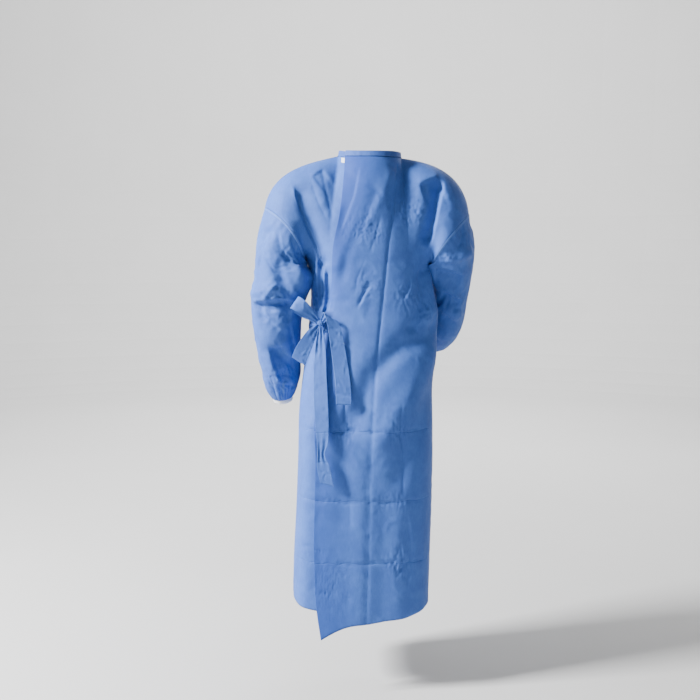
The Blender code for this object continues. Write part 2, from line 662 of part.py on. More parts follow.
def wrap_panel():
    """Right back panel, which wraps over the left one and ends in the leading edge."""
    row = row_places()[:, None]
    edge = wrap_edge_share(row, np.full_like(row, HEM_WRAP[-1][1]))
    fixed = np.linspace(0, RIGHT_NECK_SHARE, SHOULDER_COLUMNS + 1)[None, :] + 0 * row
    spread = np.linspace(0, 1, WRAP_COLUMNS + 1)[None, 1:]
    share = np.concatenate([fixed, RIGHT_NECK_SHARE + (edge - RIGHT_NECK_SHARE) * spread], axis=1)
    across = share / edge
    hem = read(HEM_WRAP, HEM_COLUMNS, "z", across)
    points = body_surface(1, share, row, hem)
    lift = read(WRAP_LIFT, LIFT_COLUMNS, "out", points[..., 2])
    points[..., 1] += lift * np.clip(1 - (edge - share) / WRAP_LIFT_SHARE, 0, 1) ** 2
    panel = Panel("back_right", points, 1, WALL)
    panel.fold(FOLDS_BACK, 1, ("bottom", "left"))
    return panel


def under_panel():
    """Left back panel: its free edge lies hidden under the wrap."""
    row = row_places()[:, None]
    inner = np.linspace(UNDER_EDGE_SHARE, LEFT_NECK_SHARE, UNDER_COLUMNS + 1)
    outer = np.linspace(LEFT_NECK_SHARE, 1, SHOULDER_COLUMNS + 1)[1:]
    share = np.concatenate([inner, outer])[None, :] + 0 * row
    across = (share - UNDER_EDGE_SHARE) / (1 - UNDER_EDGE_SHARE)
    hem = read(HEM_UNDER, HEM_COLUMNS, "z", across)
    panel = Panel("back_left", body_surface(1, share, row, hem), 1, WALL)
    panel.fold(FOLDS_BACK, 1, ("bottom", "right"))
    covered = wrap_edge_share(row, np.full_like(row, HEM_WRAP[-1][1])) + COVER_MARGIN
    level = LEFT_NECK_SHARE + (1 - LEFT_NECK_SHARE) * np.clip(row / LEVEL_ROW, 0, 1)
    depth = np.clip((level - share) / (level - covered), 0, 1)
    panel.sink(depth * LAYER_DEPTH)
    return panel


def ring_points(row, side, turns):
    """Points round one sleeve ring, from a table row as a dictionary."""
    face = unit(np.array([row["face_x"], row["face_y"], row["face_z"]]))
    out = np.array([float(side), 0.0, 0.0])
    wide = unit(out - (out @ face) * face)
    deep = np.cross(face, wide) * -side
    centre = np.array([row["x"], row["y"], row["z"]])
    angle = np.radians(turns)[:, None]
    return centre + row["half_width"] * np.cos(angle) * wide + row["half_depth"] * np.sin(angle) * deep


def sleeve_panel(name, side, folds):
    """Sleeve tube from the armhole loop through its rings to the wrist."""
    rings = SIDES[side]["rings"]
    keys = [0.0] + [row[0] for row in rings]
    loops = [armhole(side, RING_TURNS)]
    for values in rings:
        loops.append(ring_points(dict(zip(RING_COLUMNS, values)), side, RING_TURNS))
    loops = np.array(loops)
    at = np.linspace(0, 1, SLEEVE_ROWS + 1)
    points = np.empty((SLEEVE_ROWS + 1, RING_POINTS, 3))
    for point in range(RING_POINTS):
        for axis in range(3):
            points[:, point, axis] = smooth(keys, loops[:, point, axis], at)
    panel = Panel(name, points, -side, WALL, closed=True, group="sleeve")
    panel.fold(folds, 1, ("right", "left"))
    return panel


def cuff_object(name, side, sleeve, material):
    """Knitted tube that shows a little past the sleeve's end and runs up inside it."""
    last = dict(zip(RING_COLUMNS, SIDES[side]["rings"][-1]))
    face = unit(np.array([last["face_x"], last["face_y"], last["face_z"]]))
    fitted = dict(last)
    for size in ("half_width", "half_depth"):
        fitted[size] = last[size] - WALL - SEAM_GAP
    ring = ring_points(fitted, side, RING_TURNS)
    centre = ring.mean(axis=0)
    rows = [dict(zip(CUFF_COLUMNS, row)) for row in CUFF_RINGS]
    outer = np.array([centre + (ring - centre) * row["size"] + face * row["along"] for row in rows])
    panel = Panel(name, outer, sleeve.outward, CUFF_WALL, closed=True, group="cuff")
    inner = outer - CUFF_WALL * panel.normals
    return wall_object(name, outer, inner, True, sleeve.outward, material)


def neck_row(panel, first, last):
    """Neckline points and normals of a panel between two of its columns."""
    step = 1 if last >= first else -1
    columns = list(range(first, last + step, step))
    return panel.points[0, columns], panel.normals[0, columns]


def binding_object(front, wrap, under, material):
    """Strip along the neckline, from the wrap's corner round to the hidden end."""
    wrap_last = wrap.points.shape[1] - 1
    runs = (
        neck_row(wrap, wrap_last, SHOULDER_COLUMNS),
        neck_row(front, SHOULDER_COLUMNS, SHOULDER_COLUMNS + NECK_COLUMNS),
        neck_row(under, UNDER_COLUMNS, 0),
    )
    line = np.concatenate([runs[0][0], runs[1][0][1:], runs[2][0][1:]])
    outward = np.concatenate([runs[0][1], runs[1][1][1:], runs[2][1][1:]])
    along = unit(np.gradient(line, axis=0))
    rise = unit(np.cross(outward, along))
    rise = rise * np.sign(rise[:, 2:3])
    rise = unit(rise + np.array([0.0, 0.0, BINDING_LIFT]))
    square = unit(np.cross(along, rise))
    square = square * np.sign(np.sum(square * outward, axis=-1, keepdims=True))
    proud = (BINDING_WALL - WALL) / 2
    foot = line + outward * proud + rise * SEAM_GAP
    outer = np.array([foot + rise * BINDING_HEIGHT * step for step in BINDING_STEPS])
    inner = outer - BINDING_WALL * np.array([square, square, outward])
    return wall_object("neck_binding", outer, inner, False, -1, material)


def tie_wrap_object(wrap, material):
    """Sewn end of the wrap's tie, made from the wrap's own points, moved out."""
    rows = wrap.points[TIE_WRAP_ROW : TIE_WRAP_ROW + 2, -1 - TIE_WRAP_COLUMNS :]
    out = wrap.normals[TIE_WRAP_ROW : TIE_WRAP_ROW + 2, -1 - TIE_WRAP_COLUMNS :]
    shares = np.array(TIE_WRAP_SPAN)[:, None, None]
    points = rows[0] + shares * (rows[1] - rows[0])
    facing = unit(out[0] + shares * (out[1] - out[0]))
    inner = points + SEAM_GAP * facing
    return wall_object("tie_wrap", inner + TIE_WALL * facing, inner, False, 1, material)


def at_knot(place):
    """The place drawn straight towards the knot's middle until it all but meets the knot."""
    centre = np.array(KNOT_CENTRE)
    away = np.array(place) - centre
    surface = 1 / np.linalg.norm(away / np.array(KNOT_HALF))
    return centre + away * surface + unit(away) * KNOT_GAP


def tie_object(name, table, material):
    """Flat tie along its table of centres, gathered where it is narrow."""
    table = [list(row) for row in table]
    for end in KNOT_ENDS[name]:
        table[end][:3] = at_knot(table[end][:3])
    keys = np.arange(len(table), dtype=float)
    at = np.linspace(0, len(table) - 1, TIE_ROWS_EACH * (len(table) - 1) + 1)
    columns = {
        title: smooth(keys, [row[place] for row in table], at)
        for place, title in enumerate(TIE_COLUMNS)
    }
    centre = np.stack([columns["x"], columns["y"], columns["z"]], axis=-1)
    rise = np.radians(columns["rise"])
    lean = np.radians(columns["lean"])
    wide = np.stack([np.cos(rise) * np.cos(lean), np.sin(lean), np.sin(rise) * np.cos(lean)], axis=-1)
    across = np.linspace(-1, 1, TIE_COLUMNS_ACROSS + 1)
    steps = columns["half_width"][:, None] * across[None, :]
    middle = centre[:, None, :] + steps[..., None] * wide[:, None, :]
    facing = normals(middle, 1)
    outer = middle + facing * TIE_WALL / 2
    inner = middle - facing * TIE_WALL / 2
    return wall_object(name, outer, inner, False, 1, material)


def knot_object(material):
    """Knot of the bow as one rounded lump."""
    mesh = bpy.data.meshes.new("bow_knot")
    thing = bpy.data.objects.new("bow_knot", mesh)
    bpy.context.collection.objects.link(thing)
    shape = bmesh.new()
    bmesh.ops.create_uvsphere(shape, u_segments=KNOT_SEGMENTS, v_segments=KNOT_RINGS, radius=1.0)
    bmesh.ops.scale(shape, vec=KNOT_HALF, verts=shape.verts)
    bmesh.ops.translate(shape, vec=KNOT_CENTRE, verts=shape.verts)
    shape.to_mesh(mesh)
    shape.free()
    mesh.shade_smooth()
    mesh.materials.append(material)
    return thing


def tab_object(material):
    """Hook tab under the wrap's corner, standing a little past its edge."""
    share = np.linspace(*TAB_SHARES, TAB_POINTS[1])[None, :]
    row = np.linspace(*TAB_ROWS, TAB_POINTS[0])[:, None]
    points = body_surface(1, share, row, HEM_WRAP[-1][1])
    facing = normals(points, 1)
    outer = points - (WALL + TAB_CLEARANCE) * facing
    return wall_object("hook_tab", outer, outer - TAB_WALL * facing, False, 1, material)


def clear_scene():
    """Removes whatever the file opened with."""
    for thing in list(bpy.data.objects):
        bpy.data.objects.remove(thing, do_unlink=True)


def main():
    """Makes each piece of the gown as its own solid."""
    clear_scene()
    fabric = finish_material("sms_nonwoven", FABRIC_BLUE)
    bound = finish_material("binding_nonwoven", BINDING_BLUE)
    knit = finish_material("rib_knit", KNIT_WHITE)
    hook = finish_material("hook_tape", TAB_WHITE)
    front = front_panel()
    wrap = wrap_panel()
    under = under_panel()
    left = sleeve_panel("sleeve_left", 1, FOLDS_LEFT_SLEEVE)
    right = sleeve_panel("sleeve_right", -1, FOLDS_RIGHT_SLEEVE)
    panels = (front, wrap, under, left, right)
    share_normals(panels)
    set_armhole_normals(front, wrap, under, {1: left, -1: right})
    binding_object(front, wrap, under, bound)
    for panel in panels:
        build_panel(panel, fabric)
    cuff_object("cuff_left", 1, left, knit)
    cuff_object("cuff_right", -1, right, knit)
    tie_wrap_object(wrap, fabric)
    for name, table in TIE_PIECES.items():
        tie_object(name, table, fabric)
    knot_object(fabric)
    tab_object(hook)


main()
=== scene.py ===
"""Finished look of a wrap-back surgical gown, hollow as it is worn.

Metres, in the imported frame: +Z up, +X the gown's left, +Y its back. Each piece of cloth is a thin
shell on the form of the solid that it stands for, with its creases, seams and stitches.
"""

import logging
import math
from collections.abc import Iterable, Mapping, Sequence
from dataclasses import dataclass, field
from enum import Enum

import bmesh
import bpy
import numpy as np
from mathutils import Matrix, Vector, noise


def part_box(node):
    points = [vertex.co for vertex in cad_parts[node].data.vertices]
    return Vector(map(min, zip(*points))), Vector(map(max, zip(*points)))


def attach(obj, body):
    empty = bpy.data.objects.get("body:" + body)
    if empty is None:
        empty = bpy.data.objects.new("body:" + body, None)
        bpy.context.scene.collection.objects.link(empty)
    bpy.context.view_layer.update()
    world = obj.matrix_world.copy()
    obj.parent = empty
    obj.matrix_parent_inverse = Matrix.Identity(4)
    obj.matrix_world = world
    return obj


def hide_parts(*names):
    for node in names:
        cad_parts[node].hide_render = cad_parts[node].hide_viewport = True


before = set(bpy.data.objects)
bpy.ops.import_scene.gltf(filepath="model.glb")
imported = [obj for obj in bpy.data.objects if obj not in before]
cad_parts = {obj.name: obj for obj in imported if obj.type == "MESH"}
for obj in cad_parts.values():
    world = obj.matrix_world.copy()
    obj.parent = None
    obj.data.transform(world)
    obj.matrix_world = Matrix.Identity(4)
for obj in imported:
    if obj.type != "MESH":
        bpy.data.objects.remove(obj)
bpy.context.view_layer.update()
LOG = logging.getLogger("gown")
MM = 0.001
METRE_MM = 1000
Grid = np.ndarray
Route = tuple[tuple[float, float], ...]
Socket = bpy.types.NodeSocket


class Side(Enum):
    """Side of the gown as it is worn; the value is the sign of X."""

    LEFT = 1
    RIGHT = -1


class Face(Enum):
    """Half of the gown; the value is the sign of Y."""

    BACK = 1
    FRONT = -1


class Profile(Enum):
    """Cross-section of a crease. Left and right are as its route runs down."""

    ROLL = "soft trough or ridge"
    PRESS = "sharp line left by folding for the pack"
    TUCK = "gentle on its left and steep on its right"
    LIP = "drops off a sharp edge to its right and comes back slowly"


ROLL, PRESS, TUCK, LIP = Profile
PRESS_FALL = 1.3
TUCK_STEEP = 3.6
LIP_SHARE = 0.35
LIP_SPREAD = (1.5, 6.0)
END_SHARE = 0.08
FAINT = 0.02
FACING_GAIN = 1.6
RIDGE_TOP = 0.5
RIDGE_SLOPE = 2.2
RIPPLE_GAIN = 1.8
WAVE_BANDS = 20


def unit(vectors: Grid) -> Grid:
    """Scales vectors to length one."""
    lengths = np.linalg.norm(vectors, axis=-1, keepdims=True)
    return vectors / np.maximum(lengths, 1e-12)


def ease(share: Grid) -> Grid:
    """Turns 0 to 1 into a smooth step, clipped at both ends."""
    share = np.clip(share, 0, 1)
    return share * share * (3 - 2 * share)


def smooth_curve(keys: Sequence[float], values: Sequence[float], at: Grid) -> Grid:
    """Reads a smooth curve through given values.

    Args:
        keys: Where the values are given, rising.
        values: The value at each key.
        at: Where the curve is read.

    Returns:
        The curve's value at each place.
    """
    keys = np.asarray(keys, float)
    values = np.asarray(values, float)
    at = np.clip(at, keys[0], keys[-1])
    slopes = np.gradient(values, keys)
    low = np.clip(np.searchsorted(keys, at, side="right") - 1, 0, len(keys) - 2)
    span = keys[low + 1] - keys[low]
    t = (at - keys[low]) / span
    start = (2 * t**3 - 3 * t**2 + 1) * values[low] + (t**3 - 2 * t**2 + t) * span * slopes[low]
    end = (3 * t**2 - 2 * t**3) * values[low + 1] + (t**3 - t**2) * span * slopes[low + 1]
    return start + end


@dataclass(frozen=True)
class Table:
    """Named columns of sizes over a first column that rises."""

    columns: tuple[str, ...]
    rows: tuple[tuple[float, ...], ...]

    def read(self, name: str, at: Grid) -> Grid:
        """Reads one column smoothly.

        Args:
            name: The column's name.
            at: Values of the first column.

        Returns:
            The column's value at each place.
        """
        place = self.columns.index(name)
        return smooth_curve([row[0] for row in self.rows], [row[place] for row in self.rows], at)


@dataclass(frozen=True)
class Crease:
    """One crease: its cross-section, how far out it stands, its half width and its route.

    The route is X and Z in millimetres.
    """

    profile: Profile
    out_mm: float
    width_mm: float
    route: Route
    faded_share: float = 0.3

    def height(self, flat: Grid) -> Grid:
        """Measures how far the crease moves each point out of the cloth.

        Args:
            flat: Points as X and Z, seen square on.

        Returns:
            The height at each point, in metres.
        """
        knots = np.array(self.route) / METRE_MM
        steps = np.linalg.norm(np.diff(knots, axis=0), axis=1)
        starts = np.concatenate([[0.0], np.cumsum(steps)])
        nearest = np.full(flat.shape[:-1], np.inf)
        side = np.ones(flat.shape[:-1])
        along = np.zeros(flat.shape[:-1])
        for index, step in enumerate(steps):
            run = knots[index + 1] - knots[index]
            offset = flat - knots[index]
            t = np.clip((offset @ run) / (run @ run), 0, 1)
            gap = np.linalg.norm(offset - t[..., None] * run, axis=-1)
            closer = gap < nearest
            nearest = np.where(closer, gap, nearest)
            turn = run[0] * offset[..., 1] - run[1] * offset[..., 0]
            side = np.where(closer, np.where(turn < 0, -1.0, 1.0), side)
            along = np.where(closer, (starts[index] + t * step) / starts[-1], along)
        shape = self.cross_section(nearest / (self.width_mm * MM), side)
        if self.faded_share > 0:
            shape = shape * ease(np.minimum(along, 1 - along) / self.faded_share + END_SHARE)
        return self.out_mm * MM * shape

    def cross_section(self, gap: Grid, side: Grid) -> Grid:
        """Reads the profile at a distance from the route.

        Args:
            gap: Distance in half widths.
            side: 1 on the route's left and -1 on its right.

        Returns:
            The height as a share of the full one.
        """
        if self.profile is ROLL:
            return np.exp(-(gap**2))
        if self.profile is PRESS:
            return np.exp(-gap * PRESS_FALL)
        if self.profile is TUCK:
            return np.exp(-((gap * np.where(side > 0, 1.0, TUCK_STEEP)) ** 2))
        drop = np.where(side < 0, gap * np.exp(1 - gap), 0.0)
        lip = LIP_SHARE * np.exp(-((gap * np.where(side > 0, *LIP_SPREAD)) ** 2))
        return drop - lip


@dataclass(frozen=True)
class Crumple:
    """A patch of small sharp wrinkles: middle as X and Z, reach, height and wrinkle size, all mm."""

    middle: tuple[float, float]
    reach_mm: float
    out_mm: float
    size_mm: float

    def height(self, points: Grid) -> Grid:
        """Measures how far the wrinkles move each point out.

        Args:
            points: Points of the cloth.

        Returns:
            The height at each point, in metres.
        """
        gap = np.linalg.norm(points[..., [0, 2]] - np.array(self.middle) / METRE_MM, axis=-1)
        inside = np.exp(-((gap / (self.reach_mm * MM)) ** 2))
        height = np.zeros(points.shape[:-1])
        near = inside > FAINT
        height[near] = ridges(points[near], self.size_mm)
        return height * inside * self.out_mm * MM


@dataclass(frozen=True)
class Flap:
    """Slack cloth that hangs to one side: its middle, its reach and how far it moves, all mm."""

    middle: tuple[float, float, float]
    reach_mm: tuple[float, float, float]
    move_mm: tuple[float, float, float]

    def moved(self, points: Grid) -> Grid:
        """Finds how far the slack moves each point.

        Args:
            points: Points of the cloth.

        Returns:
            The move of each, in metres.
        """
        gap = (points - np.array(self.middle) / METRE_MM) / (np.array(self.reach_mm) * MM)
        share = np.exp(-np.sum(gap**2, axis=-1))
        return share[..., None] * np.array(self.move_mm) * MM


def ridges(points: Grid, size_mm: float, seed: float = 0.0) -> Grid:
    """Makes a field of small sharp ridges.

    Args:
        points: Points of the cloth, as rows.
        size_mm: Size of the wrinkles.
        seed: Moves the pattern.

    Returns:
        Values from about -0.5 to 0.5.
    """
    scaled = points / (size_mm * MM) + seed
    return np.array([RIDGE_TOP - abs(noise.noise(Vector(place))) * RIDGE_SLOPE for place in scaled])


def ripple(places: Grid, seed: float) -> Grid:
    """Makes smooth uneven waves along a line, from about -1 to 1."""
    return np.array([noise.noise(Vector((place, seed, 0.0))) * RIPPLE_GAIN for place in places])


@dataclass(frozen=True)
class Wrinkle:
    """A light all-over wrinkle, strongest in uneven patches: its size, height and seed."""

    size_mm: float
    out_mm: float
    seed: float
    patch_sizes: float = 3.1
    patch_seed: float = 7.0
    patch_gain: float = 1.6
    patch_level: float = 0.3

    def height(self, rows: Grid) -> Grid:
        """Measures how far the wrinkle moves each point out.

        Args:
            rows: Points of the cloth, as rows.

        Returns:
            The height at each point, in metres.
        """
        patches = ridges(rows, self.size_mm * self.patch_sizes, self.seed + self.patch_seed)
        where = np.clip(patches * self.patch_gain + self.patch_level, 0, 1)
        return ridges(rows, self.size_mm, self.seed) * where * self.out_mm * MM


@dataclass(frozen=True)
class BodyForm:
    """Outer face of the gown's body, from the sizes that its solids have too."""

    right_neck: float = 0.30
    left_neck: float = 0.70
    shoulder_start: tuple[float, float] = (0.30, -0.04)
    neck_start: tuple[float, float] = (0.14, -0.22)
    neck_blend: float = 0.29
    neck_blend_width: float = 0.20
    chest_drop: float = 0.27
    armhole_reach: float = 0.34
    neck_x: tuple[float, float] = (-0.098, 0.074)
    neck_depth: Mapping[Face, float] = field(default_factory=lambda: {Face.BACK: 0.074, Face.FRONT: 0.098})
    neck_z: Mapping[Face, float] = field(default_factory=lambda: {Face.BACK: -0.030, Face.FRONT: -0.105})
    shoulders: Mapping[Side, Route] = field(
        default_factory=lambda: {
            Side.LEFT: ((0.074, -0.024), (0.150, -0.042), (0.256, -0.058), (0.276, -0.163)),
            Side.RIGHT: ((-0.098, -0.030), (-0.170, -0.039), (-0.270, -0.060), (-0.286, -0.180)),
        }
    )
    armholes: Mapping[Side, Mapping[str, float]] = field(
        default_factory=lambda: {
            Side.LEFT: {
                "under_z": -0.302,
                "back": 0.098,
                "front": 0.092,
                "lean_x": -0.020,
                "lean_z": 0.010,
            },
            Side.RIGHT: {
                "under_z": -0.320,
                "back": 0.096,
                "front": 0.092,
                "lean_x": 0.018,
                "lean_z": -0.006,
            },
        }
    )
    sections: Table = Table(
        ("z", "left", "right", "back", "front", "right_seam_y", "roundness"),
        (
            (-1.360, 0.206, 0.179, 0.150, 0.134, 0.000, 0.66),
            (-1.150, 0.202, 0.184, 0.148, 0.134, 0.000, 0.66),
            (-1.000, 0.194, 0.188, 0.147, 0.133, 0.000, 0.68),
            (-0.850, 0.188, 0.190, 0.146, 0.132, 0.000, 0.70),
            (-0.720, 0.184, 0.189, 0.143, 0.130, 0.000, 0.74),
            (-0.640, 0.175, 0.189, 0.136, 0.127, 0.004, 0.79),
            (-0.570, 0.166, 0.197, 0.126, 0.123, 0.016, 0.84),
            (-0.500, 0.157, 0.198, 0.118, 0.121, 0.030, 0.86),
            (-0.450, 0.152, 0.199, 0.116, 0.121, 0.040, 0.86),
            (-0.400, 0.150, 0.190, 0.119, 0.122, 0.036, 0.86),
            (-0.340, 0.155, 0.180, 0.122, 0.121, 0.018, 0.86),
            (-0.290, 0.168, 0.177, 0.123, 0.118, 0.004, 0.86),
        ),
    )
    wrap_edge: Table = Table(
        ("z", "x"),
        (
            (-1.360, 0.119),
            (-1.244, 0.135),
            (-1.102, 0.140),
            (-0.839, 0.135),
            (-0.673, 0.138),
            (-0.479, 0.118),
            (-0.385, 0.097),
            (-0.266, 0.087),
            (-0.185, 0.071),
            (-0.066, 0.058),
            (-0.020, 0.056),
        ),
    )
    edge_search: tuple[float, float] = (0.45, 0.95)
    inside: tuple[float, float, float] = (0.0, 0.0, -0.7)
    edge_halvings: int = 40

    def neckline(self, face: Face, share: Grid) -> Grid:
        """Finds the neck opening's edge.

        Args:
            face: The half of the gown.
            share: Place along it, from its right point (0) to its left point (1).

        Returns:
            The points.
        """
        angle = math.pi * np.clip(share, 0, 1)
        middle = (self.neck_x[0] + self.neck_x[1]) / 2
        half = (self.neck_x[1] - self.neck_x[0]) / 2
        right = self.shoulders[Side.RIGHT][0][1]
        left = self.shoulders[Side.LEFT][0][1]
        ends = right + (left - right) * share
        x = middle - half * np.cos(angle)
        y = face.value * self.neck_depth[face] * np.sin(angle)
        z = ends + (self.neck_z[face] - ends) * np.sin(angle) ** 2
        return np.stack([x, y, z], axis=-1)

    def shoulder(self, side: Side, t: Grid) -> Grid:
        """Finds the shoulder line.

        Args:
            side: The shoulder.
            t: Place along it, from the neck (0) to the top of the armhole (1).

        Returns:
            The points.
        """
        t = np.asarray(t, float)
        weights = ((1 - t) ** 3, 3 * t * (1 - t) ** 2, 3 * t**2 * (1 - t), t**3)
        x = sum(w * p[0] for w, p in zip(weights, self.shoulders[side]))
        z = sum(w * p[1] for w, p in zip(weights, self.shoulders[side]))
        return np.stack([x, np.zeros_like(x), z], axis=-1)

    def top_line(self, face: Face, share: Grid) -> Grid:
        """Finds the shoulders and the neckline as one line.

        Args:
            face: The half of the gown.
            share: Place along it, from the right armhole (0) to the left one (1).

        Returns:
            The points.
        """
        right = self.shoulder(Side.RIGHT, np.clip(1 - share / self.right_neck, 0, 1))
        left = self.shoulder(Side.LEFT, np.clip((share - self.left_neck) / (1 - self.left_neck), 0, 1))
        neck = self.neckline(face, (share - self.right_neck) / (self.left_neck - self.right_neck))
        line = np.where((share < self.right_neck)[..., None], right, neck)
        return np.where((share > self.left_neck)[..., None], left, line)

    def section(self, face: Face, share: Grid, z: Grid) -> Grid:
        """Finds points of the body's level section.

        Args:
            face: The half of the gown.
            share: Place across it, from the right side seam (0) to the left one (1).
            z: Height.

        Returns:
            The points.
        """
        left = self.sections.read("left", z)
        right = self.sections.read("right", z)
        depth = self.sections.read(face.name.lower(), z)
        seam_y = self.sections.read("right_seam_y", z) * (share < 0.5)
        roundness = self.sections.read("roundness", z)
        angle = (share - 0.5) * math.pi
        across = np.sign(np.sin(angle)) * np.abs(np.sin(angle)) ** roundness
        out = np.maximum(np.cos(angle), 0) ** roundness
        x = (left - right) / 2 + (left + right) / 2 * across
        y = seam_y + (face.value * depth - seam_y) * out
        return np.stack([x, y, z + 0 * x], axis=-1)

    def chest_height(self, share: Grid) -> Grid:
        """Finds the underarm level, from the right underarm point to the left one."""
        right = self.armholes[Side.RIGHT]["under_z"]
        return right + (self.armholes[Side.LEFT]["under_z"] - right) * share

    def armhole(self, side: Side, turn: Grid) -> Grid:
        """Finds the armhole's seam.

        Args:
            side: The armhole.
            turn: Degrees round it: 0 at the shoulder, 90 at the back, 180 under the arm.

        Returns:
            The points.
        """
        hole = self.armholes[side]
        top = self.shoulder(side, np.float64(1.0))
        under = self.section(Face.BACK, np.float64(0.5 + side.value / 2), np.float64(hole["under_z"]))
        angle = np.radians(turn)[..., None]
        lean = np.array([hole["lean_x"], 0.0, hole["lean_z"]])
        depth = np.where(np.sin(angle) > 0, hole["back"], hole["front"])
        loop = (top + under) / 2 + np.cos(angle) * (top - under) / 2
        return loop + np.sin(angle) ** 2 * lean + np.sin(angle) * depth * np.array([0.0, 1.0, 0.0])

    def upper(self, face: Face, share: Grid, row: Grid) -> Grid:
        """Finds the cloth above the underarm level.

        Args:
            face: The half of the gown.
            share: Place across it.
            row: Place down it, from the shoulder and neck line (0) to the underarm level (1).

        Returns:
            The points.
        """
        top = self.top_line(face, share)
        bottom = self.section(face, share, self.chest_height(share))
        on_neck = ease((self.neck_blend - np.abs(share - 0.5)) / self.neck_blend_width)
        shoulder_start = np.array([0.0, face.value * self.shoulder_start[0], self.shoulder_start[1]])
        neck_start = np.array([0.0, face.value * self.neck_start[0], self.neck_start[1]])
        start = shoulder_start + on_neck[..., None] * (neck_start - shoulder_start)
        end = np.array([0.0, 0.0, -self.chest_drop])

        def column(first: Grid, last: Grid, way: Grid) -> Grid:
            """Draws each column as one curve down the cloth.

            Args:
                first: Points at its upper end.
                last: Points at its lower end.
                way: The curve's way at its upper end.

            Returns:
                The points.
            """
            t = row[..., None]
            rise = (2 * t**3 - 3 * t**2 + 1) * first + (t**3 - 2 * t**2 + t) * way
            return rise + (3 * t**2 - 2 * t**3) * last + (t**3 - t**2) * end

        points = column(top, bottom, start)
        for side in Side:
            edge = np.full_like(row, 0.5 + side.value / 2)
            drawn = column(
                self.top_line(face, edge),
                self.section(face, edge, self.chest_height(edge)),
                np.zeros_like(start) + shoulder_start,
            )
            turn = 180 * row if face is Face.BACK else 360 - 180 * row
            pull = self.armhole(side, turn) - drawn
            reach = np.clip(1 - np.abs(share - edge) / self.armhole_reach, 0, 1) ** 2
            points = points + reach[..., None] * pull
        return points

    def surface(self, face: Face, share: Grid, row: Grid, hem: Grid) -> Grid:
        """Finds the body's outer face.

        Args:
            face: The half of the gown.
            share: Place across it.
            row: 0 to 1 over the shoulder and 1 to 2 down to the hem.
            hem: Height of the hem.

        Returns:
            The points.
        """
        share, row, hem = np.broadcast_arrays(share, row, hem)
        chest = self.chest_height(share)
        lower = self.section(face, share, chest + (hem - chest) * np.clip(row - 1, 0, 1))
        return np.where((row <= 1)[..., None], self.upper(face, share, np.clip(row, 0, 1)), lower)

    def wrap_edge_share(self, row: Grid, hem: float) -> Grid:
        """Finds where the wrap's free edge runs across the back, by halving.

        Args:
            row: The rows.
            hem: Height of the wrap's lowest corner.

        Returns:
            The edge's place across the back on each row.
        """
        low = np.full_like(row, self.edge_search[0])
        high = np.full_like(row, self.edge_search[1])
        for _ in range(self.edge_halvings):
            middle = (low + high) / 2
            point = self.surface(Face.BACK, middle, row, np.full_like(row, hem))
            beyond = point[..., 0] > self.wrap_edge.read("x", point[..., 2])
            high = np.where(beyond, middle, high)
            low = np.where(beyond, low, middle)
        return (low + high) / 2


BODY = BodyForm()


